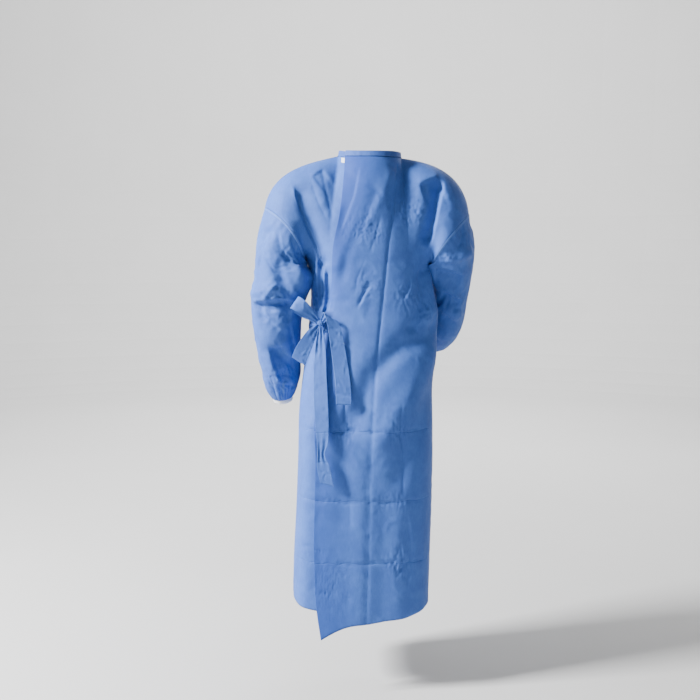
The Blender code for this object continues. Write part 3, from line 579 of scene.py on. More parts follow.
@dataclass
class Cloth:
    """A grid of points on the outer face of one piece of cloth."""

    points: Grid
    outward: float
    closed: bool = False
    # Painted shade along the wrap's free edge, partly for the double layer: how much of it each point takes.
    doubled_shade: Grid | None = None

    def normals(self) -> Grid:
        """Finds the way out of the cloth at each point."""
        down = np.gradient(self.points, axis=0)
        if self.closed:
            along = np.roll(self.points, -1, axis=1) - np.roll(self.points, 1, axis=1)
        else:
            along = np.gradient(self.points, axis=1)
        return unit(self.outward * np.cross(along, down))

    def push(self, height: Grid) -> None:
        """Moves each point out by its own height."""
        self.points = self.points + height[..., None] * self.normals()

    def facing(self, face: Face) -> Grid:
        """Finds how squarely each point faces the back or the front, from 0 to 1."""
        return np.clip(self.normals()[..., 1] * face.value * FACING_GAIN, 0, 1)

    def crease(self, creases: Iterable[Crease], face: Face, fade: Grid) -> None:
        """Presses creases into the cloth where it faces the back or the front.

        Args:
            creases: The creases.
            face: The side from which they are seen.
            fade: How much of them each point keeps.
        """
        flat = self.points[..., [0, 2]]
        self.push(sum(crease.height(flat) for crease in creases) * self.facing(face) * fade)

    def crumple(self, patches: Iterable[Crumple], face: Face, fade: Grid) -> None:
        """Adds patches of small wrinkles on one face of the gown."""
        self.push(sum(patch.height(self.points) for patch in patches) * self.facing(face) * fade)

    def wrinkle(self, wrinkle: Wrinkle, fade: Grid) -> None:
        """Adds a light all-over wrinkle."""
        height = wrinkle.height(self.points.reshape(-1, 3))
        self.push(height.reshape(self.points.shape[:2]) * fade)

    def spans(self) -> tuple[Grid, Grid]:
        """Measures the cloth's own coordinates, across and down, in metres."""
        points = self.points
        if self.closed:
            points = np.concatenate([points, points[:, :1]], axis=1)
        across = np.linalg.norm(np.diff(points, axis=1), axis=-1)
        down = np.linalg.norm(np.diff(points, axis=0), axis=-1)
        u = np.concatenate([np.zeros((points.shape[0], 1)), np.cumsum(across, axis=1)], axis=1)
        v = np.concatenate([np.zeros((1, points.shape[1])), np.cumsum(down, axis=0)], axis=0)
        return u, v

    def cut(self) -> tuple[tuple[float, float], float]:
        """Measures the flat cut: its width and length, and its area."""
        u, v = self.spans()
        points = self.points
        if self.closed:
            points = np.concatenate([points, points[:, :1]], axis=1)
        first = np.cross(points[1:, :-1] - points[:-1, :-1], points[:-1, 1:] - points[:-1, :-1])
        second = np.cross(points[1:, :-1] - points[1:, 1:], points[:-1, 1:] - points[1:, 1:])
        area = (np.linalg.norm(first, axis=-1).sum() + np.linalg.norm(second, axis=-1).sum()) / 2
        width, length = float(u[:, -1].max()), float(v[-1].max())
        return (max(width, 0.01), max(length, 0.01)), float(min(area, width * length))

    def build(self, name: str, materials: Sequence[bpy.types.Material]) -> bpy.types.Object:
        """Makes the object: a grid laid on the points, with the cloth's own map.

        Args:
            name: The piece's name.
            materials: Its materials, the face's first.

        Returns:
            The object, not yet thickened.
        """
        rows, columns = self.points.shape[:2]
        spans = columns if self.closed else columns - 1
        shape = bmesh.new()
        bmesh.ops.create_grid(shape, x_segments=spans, y_segments=rows - 1, size=0.5)
        mesh = new_mesh(name, shape)
        flat = np.empty(len(mesh.vertices) * 3, np.float32)
        mesh.vertices.foreach_get("co", flat)
        flat = flat.reshape(-1, 3) + 0.5
        column = np.rint(flat[:, 0] * spans).astype(int)
        row = np.rint(flat[:, 1] * (rows - 1)).astype(int)
        placed = self.points[row, column % columns]
        mesh.vertices.foreach_set("co", placed.astype(np.float32).ravel())
        u, v = self.spans()
        loops = np.empty(len(mesh.loops), np.int32)
        mesh.loops.foreach_get("vertex_index", loops)
        cloth_map = mesh.uv_layers.new(name="Cloth")
        places = np.stack([u[row, column], v[row, column]], axis=-1)[loops]
        cloth_map.data.foreach_set("uv", places.astype(np.float32).ravel())
        # Stores the painted shade along the wrap's free edge for the material to read.
        if self.doubled_shade is not None:
            doubled_shade_mask = mesh.attributes.new("doubled_shade", "FLOAT", "POINT")
            doubled_shade_mask.data.foreach_set("value", self.doubled_shade[row, column % columns].astype(np.float32))
        mesh.update()
        shape = bmesh.new()
        shape.from_mesh(mesh)
        if self.closed:
            bmesh.ops.remove_doubles(shape, verts=shape.verts, dist=1e-7)
        shape.faces.ensure_lookup_table()
        out = self.normals()[rows // 2, columns // 2]
        here = self.points[rows // 2, columns // 2]
        middle = min(shape.faces, key=lambda face: (face.calc_center_median() - Vector(here)).length)
        if middle.normal.dot(Vector(out)) < 0:
            bmesh.ops.reverse_faces(shape, faces=shape.faces)
        shape.to_mesh(mesh)
        shape.free()
        mesh.shade_smooth()
        for material in materials:
            mesh.materials.append(material)
        return link_object(name, mesh)


def link_object(name: str, data: bpy.types.ID) -> bpy.types.Object:
    """Adds an object with the given data to the scene."""
    thing = bpy.data.objects.new(name, data)
    bpy.context.scene.collection.objects.link(thing)
    return thing


def new_mesh(name: str, shape: bmesh.types.BMesh) -> bpy.types.Mesh:
    """Makes a mesh of a shape, and frees the shape."""
    mesh = bpy.data.meshes.new(name)
    shape.to_mesh(mesh)
    shape.free()
    return mesh


def thicken(thing: bpy.types.Object, thick_mm: float, offset: float = -1.0) -> None:
    """Gives a sheet its thickness, with the cut edge in the second material.

    Args:
        thing: The sheet.
        thick_mm: Thickness.
        offset: -1 to grow inwards, 0 to grow both ways.
    """
    wall = thing.modifiers.new("Thickness", "SOLIDIFY")
    wall.thickness = thick_mm * MM
    wall.offset = offset
    wall.use_rim = True
    if len(thing.data.materials) > 1:
        wall.material_offset_rim = 1


def edge_fade(cloth: Cloth, reach_mm: float, free: Iterable[str] = ()) -> Grid:
    """Fades folds out towards seams.

    Args:
        cloth: The piece.
        reach_mm: How far from a seam a fold is whole again.
        free: Names of the edges that aren't sewn: top, bottom, first, last.

    Returns:
        0 at a seam and 1 inside.
    """
    u, v = cloth.spans()
    if cloth.closed:
        u, v = u[:, :-1], v[:, :-1]
    edges = {"top": v, "bottom": v[-1:] - v, "first": u, "last": u[:, -1:] - u}
    fade = np.ones(cloth.points.shape[:2])
    for name, gap in edges.items():
        sideways = name in ("first", "last")
        if name not in free and not (cloth.closed and sideways):
            fade = fade * ease(gap / (reach_mm * MM))
    return fade


def linear(colour: str) -> tuple[float, float, float, float]:
    """Turns an sRGB hex colour into linear red, green, blue and alpha."""
    parts = [int(colour[place : place + 2], 16) / 255 for place in (1, 3, 5)]
    parts = [c / 12.92 if c <= 0.04045 else ((c + 0.055) / 1.055) ** 2.4 for c in parts]
    return (*parts, 1.0)


@dataclass(frozen=True)
class Nodes:
    """Adds nodes to one material's tree."""

    tree: bpy.types.NodeTree

    def add(self, kind: str, inputs: Mapping[str | int, object], **options: object) -> bpy.types.Node:
        """Adds a node with its settings and links.

        Args:
            kind: The node's type, without the words that all types start with.
            inputs: A value, or a socket to link, for each input.
            **options: Settings of the node itself.

        Returns:
            The node.
        """
        node = self.tree.nodes.new("ShaderNode" + kind)
        for name, value in options.items():
            setattr(node, name, value)
        for name, value in inputs.items():
            if isinstance(value, bpy.types.NodeSocket):
                self.tree.links.new(value, node.inputs[name])
            else:
                node.inputs[name].default_value = value
        return node

    def noise(self, place: Socket, scale: float, detail: float = 2.0, roughness: float = 0.5) -> Socket:
        """Adds smooth noise over the given places."""
        inputs = {"Vector": place, "Scale": scale, "Detail": detail, "Roughness": roughness}
        return self.add("TexNoise", inputs).outputs[0]

    def math(self, operation: str, *values: object) -> Socket:
        """Adds a sum on one to three values or sockets."""
        return self.add("Math", dict(enumerate(values)), operation=operation).outputs[0]

    def stretch(self, value: Socket, low: float, high: float) -> Socket:
        """Stretches the values from low to high over 0 to 1."""
        return self.add("MapRange", {"Value": value, "From Min": low, "From Max": high}).outputs[0]

    def mix(self, share: Socket, first: object, second: object) -> Socket:
        """Blends two colours."""
        return self.add("Mix", {0: share, 6: first, 7: second}, data_type="RGBA").outputs[2]

    def bump(self, height: Socket, strength: float, out_mm: float, **more: object) -> Socket:
        """Bends the surface's direction by a height; more holds the other inputs."""
        inputs = {"Strength": strength, "Distance": out_mm * MM, "Height": height, **more}
        return self.add("Bump", inputs).outputs[0]


@dataclass(frozen=True)
class Finish:
    """A finish with one shader: its name, colour and roughness."""

    name: str
    colour: str
    roughness: float
    sheen: float = 0.0
    sheen_roughness: float = 0.5

    def start(self) -> tuple[bpy.types.Material, Nodes, bpy.types.Node, Mapping[str, Socket]]:
        """Makes the material with its plain shader and its coordinates."""
        material = bpy.data.materials.new(self.name)
        material.use_nodes = True
        tree = material.node_tree
        shader = tree.nodes["Principled BSDF"]
        shader.inputs["Base Color"].default_value = linear(self.colour)
        shader.inputs["Roughness"].default_value = self.roughness
        shader.inputs["Sheen Weight"].default_value = self.sheen
        shader.inputs["Sheen Roughness"].default_value = self.sheen_roughness
        nodes = Nodes(tree)
        return material, nodes, shader, nodes.add("TexCoord", {}).outputs


@dataclass(frozen=True)
class Nonwoven(Finish):
    """Three-layer polypropylene nonwoven, spunbond outside and meltblown inside, point-bonded.

    Its loose fibres give a matt face with a pale veil at a glancing angle, cloudy where fibres lie
    thicker, with a fine lattice of sealed dots. The real dots are 0.8 mm apart, too fine to show,
    so they are drawn 1.6 mm apart. Along the wrap's free edge, where the cloth's own attribute says
    so, the colour is painted deeper as shade, partly for the two layers that let no light through.
    """

    dark: str = "#325CAD"
    # Painted shade: the deeper colour along the wrap's free edge, partly for the double layer.
    doubled_shade: str = "#103F94"
    dot_pitch_mm: float = 1.6
    dot_edge: tuple[float, float] = (0.15, 0.4)
    dot_mm: float = 0.25
    fibre_mm: float = 5.0
    fibre_drawn: tuple[float, float, float] = (1.0, 0.35, 1.0)
    fibre_share: float = 0.55
    cloud_mm: float = 40.0
    tones: tuple[float, float] = (0.62, 0.95)
    wrinkle_mm: float = 24.0
    wrinkle_out_mm: float = 2.2
    pressed_at: tuple[float, ...] = (-0.765, -0.955, -1.127)
    pressed_half_mm: float = 2.5
    pressed_out_mm: float = 1.2
    waver_scale: float = 28.0
    waver_mm: float = 16.0

    def build(self) -> bpy.types.Material:
        """Makes the material."""
        material, nodes, shader, place = self.start()
        cloud = nodes.noise(place["Object"], METRE_MM / self.cloud_mm, 3.0, 0.6)
        drawn_out = nodes.add("Mapping", {"Vector": place["UV"], "Scale": self.fibre_drawn})
        fibre = nodes.noise(drawn_out.outputs[0], METRE_MM / self.fibre_mm, 2.0, 0.7)
        level = nodes.stretch(nodes.math("MULTIPLY_ADD", fibre, self.fibre_share, cloud), *self.tones)
        colour = nodes.mix(level, linear(self.dark), linear(self.colour))
        # Blends in the painted shade along the wrap's free edge, partly for the double layer.
        doubled_shade_mask = nodes.add("Attribute", {}, attribute_name="doubled_shade")
        deep = nodes.mix(doubled_shade_mask.outputs["Fac"], colour, linear(self.doubled_shade))
        nodes.tree.links.new(deep, shader.inputs["Base Color"])
        wrinkle = nodes.add(
            "TexNoise",
            {"Vector": place["Object"], "Scale": METRE_MM / self.wrinkle_mm, "Detail": 2.0, "Roughness": 0.5},
            noise_type="RIDGED_MULTIFRACTAL",
        )
        creased = nodes.bump(wrinkle.outputs[0], 0.3, self.wrinkle_out_mm)
        pressed = self.pressed(nodes, place["Object"], creased)
        grid = {"Vector": place["UV"], "Scale": METRE_MM / self.dot_pitch_mm, "Randomness": 0.0}
        dots = nodes.add("TexVoronoi", grid).outputs["Distance"]
        surface = nodes.math("ADD", nodes.stretch(dots, *self.dot_edge), fibre)
        bump = nodes.bump(surface, 0.7, self.dot_mm, Normal=pressed)
        nodes.tree.links.new(bump, shader.inputs["Normal"])
        return material

    def pressed(self, nodes: Nodes, place: Socket, normal: Socket) -> Socket:
        """Sinks the creases that folding for the packet left level across the cloth.

        Args:
            nodes: The material's nodes.
            place: Each point's place on the gown.
            normal: The direction that the creases bend further.

        Returns:
            The bent direction.
        """
        waver = nodes.noise(place, self.waver_scale)
        height = nodes.add("SeparateXYZ", {"Vector": place}).outputs["Z"]
        wavy = nodes.math("MULTIPLY_ADD", waver, self.waver_mm * MM, height)
        for level in self.pressed_at:
            away = nodes.math("SUBTRACT", wavy, level + self.waver_mm / 2 * MM)
            depth = nodes.stretch(nodes.math("ABSOLUTE", away), 0.0, self.pressed_half_mm * MM)
            normal = nodes.bump(depth, 0.6, self.pressed_out_mm, Normal=normal)
        return normal


@dataclass(frozen=True)
class RibKnit(Finish):
    """White polyester rib knit: soft matt yarn in upright ribs, with small loops along each."""

    loop_mm: float = 1.4
    # Painted shade: the greyer colour of the grooves between the loops.
    shade: str = "#D5D8D9"
    fuzz_scale: float = 900.0

    def build(self) -> bpy.types.Material:
        """Makes the material."""
        material, nodes, shader, place = self.start()
        waves = {"Vector": place["UV"], "Scale": METRE_MM / self.loop_mm / WAVE_BANDS, "Distortion": 1.5}
        loops = nodes.add("TexWave", {**waves, "Detail": 1.0}, bands_direction="Y").outputs["Fac"]
        height = nodes.math("ADD", loops, nodes.noise(place["Object"], self.fuzz_scale))
        nodes.tree.links.new(nodes.bump(height, 0.6, 0.3), shader.inputs["Normal"])
        # The grooves between the loops take the greyer colour: painted shade.
        tone = nodes.mix(loops, linear(self.shade), linear(self.colour))
        nodes.tree.links.new(tone, shader.inputs["Base Color"])
        return material


@dataclass(frozen=True)
class HookTape(Finish):
    """White nylon hook tape: rows of stiff little hooks that glint on a woven ground."""

    pitch_mm: float = 1.1
    # Painted shade: the greyer colour of the ground between the hooks.
    shade: str = "#C4C9CC"

    def build(self) -> bpy.types.Material:
        """Makes the material."""
        material, nodes, shader, place = self.start()
        grid = {"Vector": place["UV"], "Scale": METRE_MM / self.pitch_mm, "Randomness": 0.15}
        hooks = nodes.add("TexVoronoi", grid).outputs["Distance"]
        raised = {"Strength": 0.9, "Distance": 0.5 * MM, "Height": hooks}
        bump = nodes.add("Bump", raised, invert=True).outputs[0]
        nodes.tree.links.new(bump, shader.inputs["Normal"])
        # The ground between the hooks takes the greyer colour: painted shade.
        tone = nodes.mix(hooks, linear(self.colour), linear(self.shade))
        nodes.tree.links.new(tone, shader.inputs["Base Color"])
        return material


@dataclass(frozen=True)
class Thread(Finish):
    """Spun polyester sewing thread: two plies that twist, seen as fine slanting ridges."""

    twist_mm: float = 0.5

    def build(self) -> bpy.types.Material:
        """Makes the material."""
        material, nodes, shader, place = self.start()
        waves = {"Vector": place["Object"], "Scale": METRE_MM / self.twist_mm / WAVE_BANDS, "Distortion": 0.5}
        plies = nodes.add("TexWave", waves, bands_direction="DIAGONAL").outputs["Fac"]
        nodes.tree.links.new(nodes.bump(plies, 0.5, 0.1), shader.inputs["Normal"])
        return material


@dataclass(frozen=True)
class StudioFloor(Finish):
    """Pale matt studio floor, a little uneven in tone."""

    shade: str = "#C7C7C7"
    cloud_scale: float = 1.5

    def build(self) -> bpy.types.Material:
        """Makes the material."""
        material, nodes, shader, place = self.start()
        tone = nodes.noise(place["Object"], self.cloud_scale)
        colour = nodes.mix(tone, linear(self.shade), linear(self.colour))
        nodes.tree.links.new(colour, shader.inputs["Base Color"])
        return material


@dataclass
class Finishes:
    """Every material of the gown."""

    nonwoven: bpy.types.Material
    cut_edge: bpy.types.Material
    binding: bpy.types.Material
    tape: bpy.types.Material
    knit: bpy.types.Material
    hook: bpy.types.Material
    thread: bpy.types.Material

    @classmethod
    def make(cls) -> "Finishes":
        """Makes each material once."""
        return cls(
            nonwoven=Nonwoven("sms_nonwoven", "#3A66B8", 0.75, 0.06, 0.35).build(),
            cut_edge=Nonwoven("nonwoven_cut_edge", "#7399D8", 0.8, 0.1, 0.5, dark="#5F87CB").build(),
            binding=Nonwoven("binding_nonwoven", "#355FB0", 0.72, 0.05, 0.35, dark="#2B52A0").build(),
            tape=Nonwoven("seam_nonwoven", "#4975C4", 0.7, 0.10, 0.35, dark="#3D68B8").build(),
            knit=RibKnit("rib_knit", "#F4F5F4", 0.92, 0.4, 0.5).build(),
            hook=HookTape("hook_tape", "#F7F8F8", 0.45).build(),
            thread=Thread("sewing_thread", "#6088CE", 0.6, 0.1, 0.4).build(),
        )


@dataclass
class Piece:
    """A finished piece of cloth with facts about it: its slot, what it stands for, how it is held and what it
    rests on.
    """

    name: str
    cloth: Cloth
    materials: Sequence[bpy.types.Material]
    slot: str
    stands_for: tuple[str, ...]
    held: str
    thick_mm: float = 0.6
    offset: float = -1.0
    rests_on: tuple[str, ...] = ()

    def place(self) -> bpy.types.Object:
        thing = self.cloth.build(self.name, self.materials)
        thicken(thing, self.thick_mm, self.offset)
        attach(thing, "root")
        if self.stands_for:
            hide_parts(*self.stands_for)
        flat, area = self.cloth.cut()
        LOG.info("%s: cut %.3f x %.3f m, %.4f square metres", self.name, *flat, area)
        return thing


def packing_line(*route: tuple[float, float]) -> Crease:
    """Makes one line of the grid that folding for the pack leaves."""
    return Crease(PRESS, -3.0, 4.0, route, 0.1)


@dataclass(frozen=True)
class FaceFolds:
    """What is folded, pressed and crumpled into one face of the gown's body."""

    folds: tuple[Crease, ...]
    creases: tuple[Crease, ...]
    crumples: tuple[Crumple, ...]


BODY_BACK = FaceFolds(
    folds=(
        Crease(LIP, -9, 13, ((196, -104), (172, -187), (142, -270), (124, -345)), 0.15),
        Crease(TUCK, -7, 10, ((190, -120), (168, -190), (140, -270), (124, -345)), 0.2),
        Crease(TUCK, -18, 20, ((-205, -90), (-186, -175), (-166, -272)), 0.15),
        Crease(ROLL, -16, 18, ((-158, -340), (-158, -420), (-128, -486)), 0.0),
        Crease(ROLL, 3, 24, ((112, -80), (108, -160), (106, -240)), 0.0),
        Crease(ROLL, 3.5, 18, ((-66, -85), (-18, -170), (36, -250), (70, -315)), 0.0),
        Crease(ROLL, -4, 15, ((-30, -130), (8, -206), (52, -290), (62, -350)), 0.0),
        Crease(ROLL, 11, 20, ((-176, -350), (-196, -400), (-206, -435)), 0.0),
        Crease(ROLL, -11, 28, ((-190, -500), (-93, -537), (-19, -612), (40, -748)), 0.0),
        Crease(ROLL, 8, 32, ((-192, -555), (-121, -666), (-40, -789)), 0.0),
        Crease(ROLL, -7, 28, ((-180, -680), (-127, -789), (-89, -885)), 0.0),
        Crease(ROLL, -3, 26, ((60, -560), (70, -780), (60, -1000)), 0.0),
        Crease(ROLL, 3, 34, ((20, -860), (10, -1060), (14, -1270)), 0.0),
        Crease(ROLL, -3, 30, ((-55, -960), (-50, -1120), (-50, -1285)), 0.0),
        Crease(ROLL, 8, 24, ((150, -760), (165, -1000), (170, -1250)), 0.0),
    ),
    creases=(
        Crease(PRESS, -3.6, 5, (
            (-87, -53), (-74, -175), (-60, -269), (-49, -379), (-38, -490), (-29, -578), (-23, -654),
            (-14, -815), (-9, -934), (-7, -1102), (-1, -1298),
        ), 0.0),
        Crease(PRESS, -2.6, 6, ((119, -50), (106, -120), (88, -200))),
        Crease(PRESS, -2.2, 7, ((150, -84), (128, -150), (96, -215))),
        Crease(LIP, -4, 16, ((116, -60), (146, -82)), 0.2),
        Crease(TUCK, -5, 14, ((-101, -50), (-101, -121), (-90, -187))),
        Crease(LIP, -8, 22, ((-200, -80), (-140, -102)), 0.2),
        Crease(TUCK, -2.6, 16, ((18, -49), (34, -135), (74, -240))),
        Crease(TUCK, -4, 7, ((-21, -360), (6, -400), (22, -436))),
        Crease(PRESS, -2.6, 5, ((-10, -358), (3, -384))),
        Crease(TUCK, -4, 8, ((-122, -350), (-117, -380), (-100, -414))),
        Crease(PRESS, -2.9, 6, ((-103, -420), (-115, -446))),
        Crease(PRESS, -1.6, 5, ((-18, -150), (4, -215), (18, -262))),
        Crease(PRESS, -1.4, 5, ((-44, -180), (-26, -240), (-6, -300))),
        Crease(PRESS, -1.6, 5, ((0, -300), (22, -352), (30, -400))),
        Crease(PRESS, -3.5, 9, ((-98, -670), (-95, -777), (-103, -818), (-101, -957))),
        Crease(PRESS, -3, 6, ((56, -670), (55, -755))),
        Crease(PRESS, -3, 5, ((-95, -1082), (-76, -1127), (-90, -1160), (-106, -1132), (-95, -1082)), 0.0),
        Crease(TUCK, -3.5, 20, ((-112, -990), (-126, -1100), (-112, -1220))),
        Crease(PRESS, -1.9, 8, ((45, -900), (40, -1040))),
        Crease(LIP, -8, 8, ((128, -290), (131, -360), (124, -446)), 0.2),
        Crease(LIP, -8, 8, ((112, -320), (114, -400), (117, -464)), 0.2),
        Crease(ROLL, 5, 7, ((142, -340), (141, -420), (132, -462))),
        packing_line((188, -758), (140, -765), (98, -760)),
        packing_line((100, -760), (66, -767), (36, -760), (-2, -769), (-50, -762)),
        packing_line((-50, -762), (-92, -771), (-130, -763), (-170, -768)),
        packing_line((186, -950), (140, -956), (95, -953), (50, -960), (0, -953)),
        packing_line((0, -953), (-50, -960), (-108, -954), (-160, -960)),
        packing_line((192, -1092), (150, -1086), (118, -1094)),
        packing_line((80, -1124), (30, -1130), (-20, -1124), (-76, -1128)),
        packing_line((-104, -1132), (-140, -1124), (-160, -1128)),
    ),
    crumples=(
        Crumple((-125, -175), 32, 3.5, 13),
        Crumple((0, -220), 45, 1.8, 11),
        Crumple((-10, -380), 34, 2.1, 12),
        Crumple((-106, -400), 34, 1.6, 12),
        Crumple((45, -763), 36, 2.7, 9),
        Crumple((-85, -766), 30, 3, 9),
        Crumple((-30, -956), 40, 1.5, 9),
        Crumple((-100, -960), 30, 1.4, 9),
        Crumple((-90, -1125), 36, 2.4, 10),
        Crumple((96, -1190), 66, 1.3, 7),
        Crumple((-160, -440), 45, 3.5, 16),
        Crumple((140, -420), 40, 3, 14),
    ),
)
BODY_FRONT = FaceFolds(
    folds=(
        Crease(TUCK, -13.5, 17, ((190, -130), (164, -220), (132, -310), (128, -380)), 0.1),
        Crease(TUCK, -13.5, 17, ((-140, -400), (-146, -320), (-172, -225), (-198, -130)), 0.1),
        Crease(ROLL, -8, 22, ((10, -190), (50, -280), (98, -400)), 0.0),
        Crease(ROLL, -8, 24, ((-70, -160), (-90, -300), (-84, -420)), 0.0),
        Crease(ROLL, -12, 28, ((140, -490), (60, -560), (-10, -690)), 0.0),
        Crease(ROLL, 9.5, 30, ((150, -560), (96, -700), (76, -900)), 0.0),
        Crease(ROLL, -11, 28, ((-150, -600), (-100, -760), (-92, -980)), 0.0),
        Crease(ROLL, 9.5, 30, ((-40, -760), (-26, -1000), (-30, -1265)), 0.0),
        Crease(ROLL, -9.5, 28, ((30, -880), (36, -1080), (34, -1265)), 0.0),
        Crease(ROLL, 8, 28, ((-130, -960), (-140, -1120), (-136, -1265)), 0.0),
    ),
    creases=(
        Crease(PRESS, 5, 8, ((2, -120), (6, -330), (0, -560), (4, -820), (-2, -1262)), 0.0),
        Crease(PRESS, -3.5, 8, ((102, -520), (100, -760), (106, -1000), (104, -1255)), 0.2),
        Crease(PRESS, -3.5, 8, ((-98, -500), (-102, -760), (-98, -1255)), 0.2),
        Crease(TUCK, -5, 14, ((60, -130), (90, -200), (120, -290))),
        Crease(TUCK, -5, 14, ((-126, -300), (-104, -210), (-82, -120))),
        Crease(TUCK, 4, 9, ((30, -230), (50, -300), (56, -380))),
        Crease(TUCK, 4, 9, ((-30, -260), (-52, -330), (-48, -420))),
        Crease(LIP, -6.5, 14, ((-120, -462), (-60, -480), (-20, -470))),
        Crease(TUCK, -5, 10, ((110, -430), (70, -500), (60, -560))),
        packing_line((-170, -452), (-100, -446), (-30, -453), (50, -447), (140, -452)),
        packing_line((-176, -764), (-90, -770), (0, -763), (80, -769), (176, -763)),
        packing_line((-176, -956), (-80, -950), (10, -958), (90, -951), (184, -957)),
        packing_line((-172, -1126), (-90, -1131), (-10, -1124), (90, -1131), (190, -1126)),
    ),
    crumples=(
        Crumple((100, -240), 38, 3.5, 14),
        Crumple((-100, -250), 38, 3.5, 14),
        Crumple((4, -450), 40, 2.7, 10),
        Crumple((90, -455), 36, 2.7, 11),
        Crumple((-100, -450), 36, 3, 11),
        Crumple((50, -766), 36, 2.4, 9),
        Crumple((-80, -766), 36, 2.7, 9),
        Crumple((0, -955), 36, 2.4, 9),
        Crumple((100, -955), 36, 2.4, 9),
        Crumple((-100, -1128), 36, 2.4, 9),
        Crumple((50, -1128), 36, 2.1, 9),
    ),
)


FOLDS = {Face.BACK: BODY_BACK, Face.FRONT: BODY_FRONT}


@dataclass
class BodyPanels:
    """The three panels of the body: front, wrap and the panel under the wrap."""

    upper_rows: int = 84
    lower_rows: int = 200
    row_growth: float = 1.15
    side_columns: int = 49
    neck_columns: int = 73
    wrap_columns: int = 97
    under_neck_column: int = 34
    under_columns: int = 53
    under_edge: float = 0.36
    cover_margin: float = 0.005
    level_row: float = 0.4
    layer_mm: float = 6.0
    hidden_share: float = 0.03
    lift_share: float = 0.22
    fold_fade_mm: float = 45.0
    crease_fade_mm: float = 14.0
    front_wrinkle: Wrinkle = Wrinkle(38, 1.6, 3.0)
    wrap_wrinkle: Wrinkle = Wrinkle(36, 1.4, 11.0)
    under_wrinkle: Wrinkle = Wrinkle(36, 1.2, 19.0)
    # Painted shade along the wrap's free edge, partly for the double layer: its strength and its reach from
    # the edge, by height.
    doubled_shade: Table = Table(
        ("z", "share", "reach"),
        (
            (-1.36, 0.66, 0.15),
            (-0.70, 0.55, 0.13),
            (-0.45, 0.40, 0.11),
            (-0.25, 0.85, 0.11),
            (-0.05, 1.00, 0.15),
        ),
    )
    wrap_lift: Table = Table(
        ("z", "out"),
        (
            (-1.360, 0.009),
            (-0.950, 0.009),
            (-0.750, 0.007),
            (-0.600, 0.002),
            (-0.500, 0.000),
            (-0.420, 0.001),
            (-0.320, 0.006),
            (-0.220, 0.008),
            (-0.120, 0.005),
            (-0.060, 0.000),
        ),
    )
    hem_front: Table = Table(("share", "z"), ((0.0, -1.266), (0.5, -1.264), (1.0, -1.247)))
    hem_wrap: Table = Table(
        ("share", "z"),
        ((0.0, -1.266), (0.25, -1.271), (0.50, -1.283), (0.80, -1.301), (1.0, -1.342)),
    )
    hem_under: Table = Table(("share", "z"), ((0.0, -1.270), (0.55, -1.264), (1.0, -1.247)))

    def rows(self) -> Grid:
        """Places the grid's rows, from the shoulder line down to the hem."""
        upper = np.linspace(0, 1, self.upper_rows + 1)
        lower = 1 + np.linspace(0, 1, self.lower_rows + 1)[1:] ** self.row_growth
        return np.concatenate([upper, lower])[:, None]

    def fold(self, cloth: Cloth, face: Face, free: Iterable[str]) -> Grid:
        """Presses the large folds in.

        Args:
            cloth: The panel.
            face: The face of the gown that it lies on.
            free: Names of the edges that aren't sewn.

        Returns:
            How much of its small creases each point keeps.
        """
        fade = edge_fade(cloth, self.crease_fade_mm, free)
        cloth.crease(FOLDS[face].folds, face, edge_fade(cloth, self.fold_fade_mm, free))
        return fade

    @staticmethod
    def press(cloth: Cloth, face: Face, wrinkle: Wrinkle, fade: Grid) -> Cloth:
        """Adds the small creases, the crumpled places and the light wrinkle.

        Args:
            cloth: The panel.
            face: The face of the gown that it lies on.
            wrinkle: Its light wrinkle.
            fade: How much of them each point keeps.

        Returns:
            The same panel.
        """
        cloth.crease(FOLDS[face].creases, face, fade)
        cloth.crumple(FOLDS[face].crumples, face, fade)
        cloth.wrinkle(wrinkle, fade)
        return cloth

    def front(self) -> Cloth:
        """Shapes the front, from side seam to side seam."""
        side = np.linspace(0, BODY.right_neck, self.side_columns)
        neck = np.linspace(BODY.right_neck, BODY.left_neck, self.neck_columns)[1:]
        other = np.linspace(BODY.left_neck, 1, self.side_columns)[1:]
        share = np.concatenate([side, neck, other])[None, :]
        hem = self.hem_front.read("z", share)
        cloth = Cloth(BODY.surface(Face.FRONT, share, self.rows(), hem), -1.0)
        fade = self.fold(cloth, Face.FRONT, ("bottom",))
        return self.press(cloth, Face.FRONT, self.front_wrinkle, fade)

    def edge(self) -> Grid:
        """Finds the wrap's free edge on each row."""
        return BODY.wrap_edge_share(self.rows(), self.hem_wrap.rows[-1][1])

    def wrap(self) -> Cloth:
        """Shapes the right back panel, which wraps over and ends in the free edge."""
        row = self.rows()
        edge = self.edge()
        fixed = np.linspace(0, BODY.right_neck, self.side_columns)[None, :] + 0 * row
        spread = np.linspace(0, 1, self.wrap_columns)[None, 1:]
        share = np.concatenate([fixed, BODY.right_neck + (edge - BODY.right_neck) * spread], axis=1)
        points = BODY.surface(Face.BACK, share, row, self.hem_wrap.read("z", share / edge))
        lift = self.wrap_lift.read("out", points[..., 2])
        points[..., 1] += lift * np.clip(1 - (edge - share) / self.lift_share, 0, 1) ** 2
        # Painted shade, strongest at the free edge and fading away from it.
        from_edge = (points[:, -1:, 0] - points[..., 0]) / self.doubled_shade.read("reach", points[..., 2])
        doubled_shade_mask = ease(1 - np.clip(from_edge, 0, 1)) * self.doubled_shade.read("share", points[..., 2])
        cloth = Cloth(points, 1.0, doubled_shade=doubled_shade_mask)
        fade = self.fold(cloth, Face.BACK, ("bottom", "last"))
        return self.press(cloth, Face.BACK, self.wrap_wrinkle, fade)

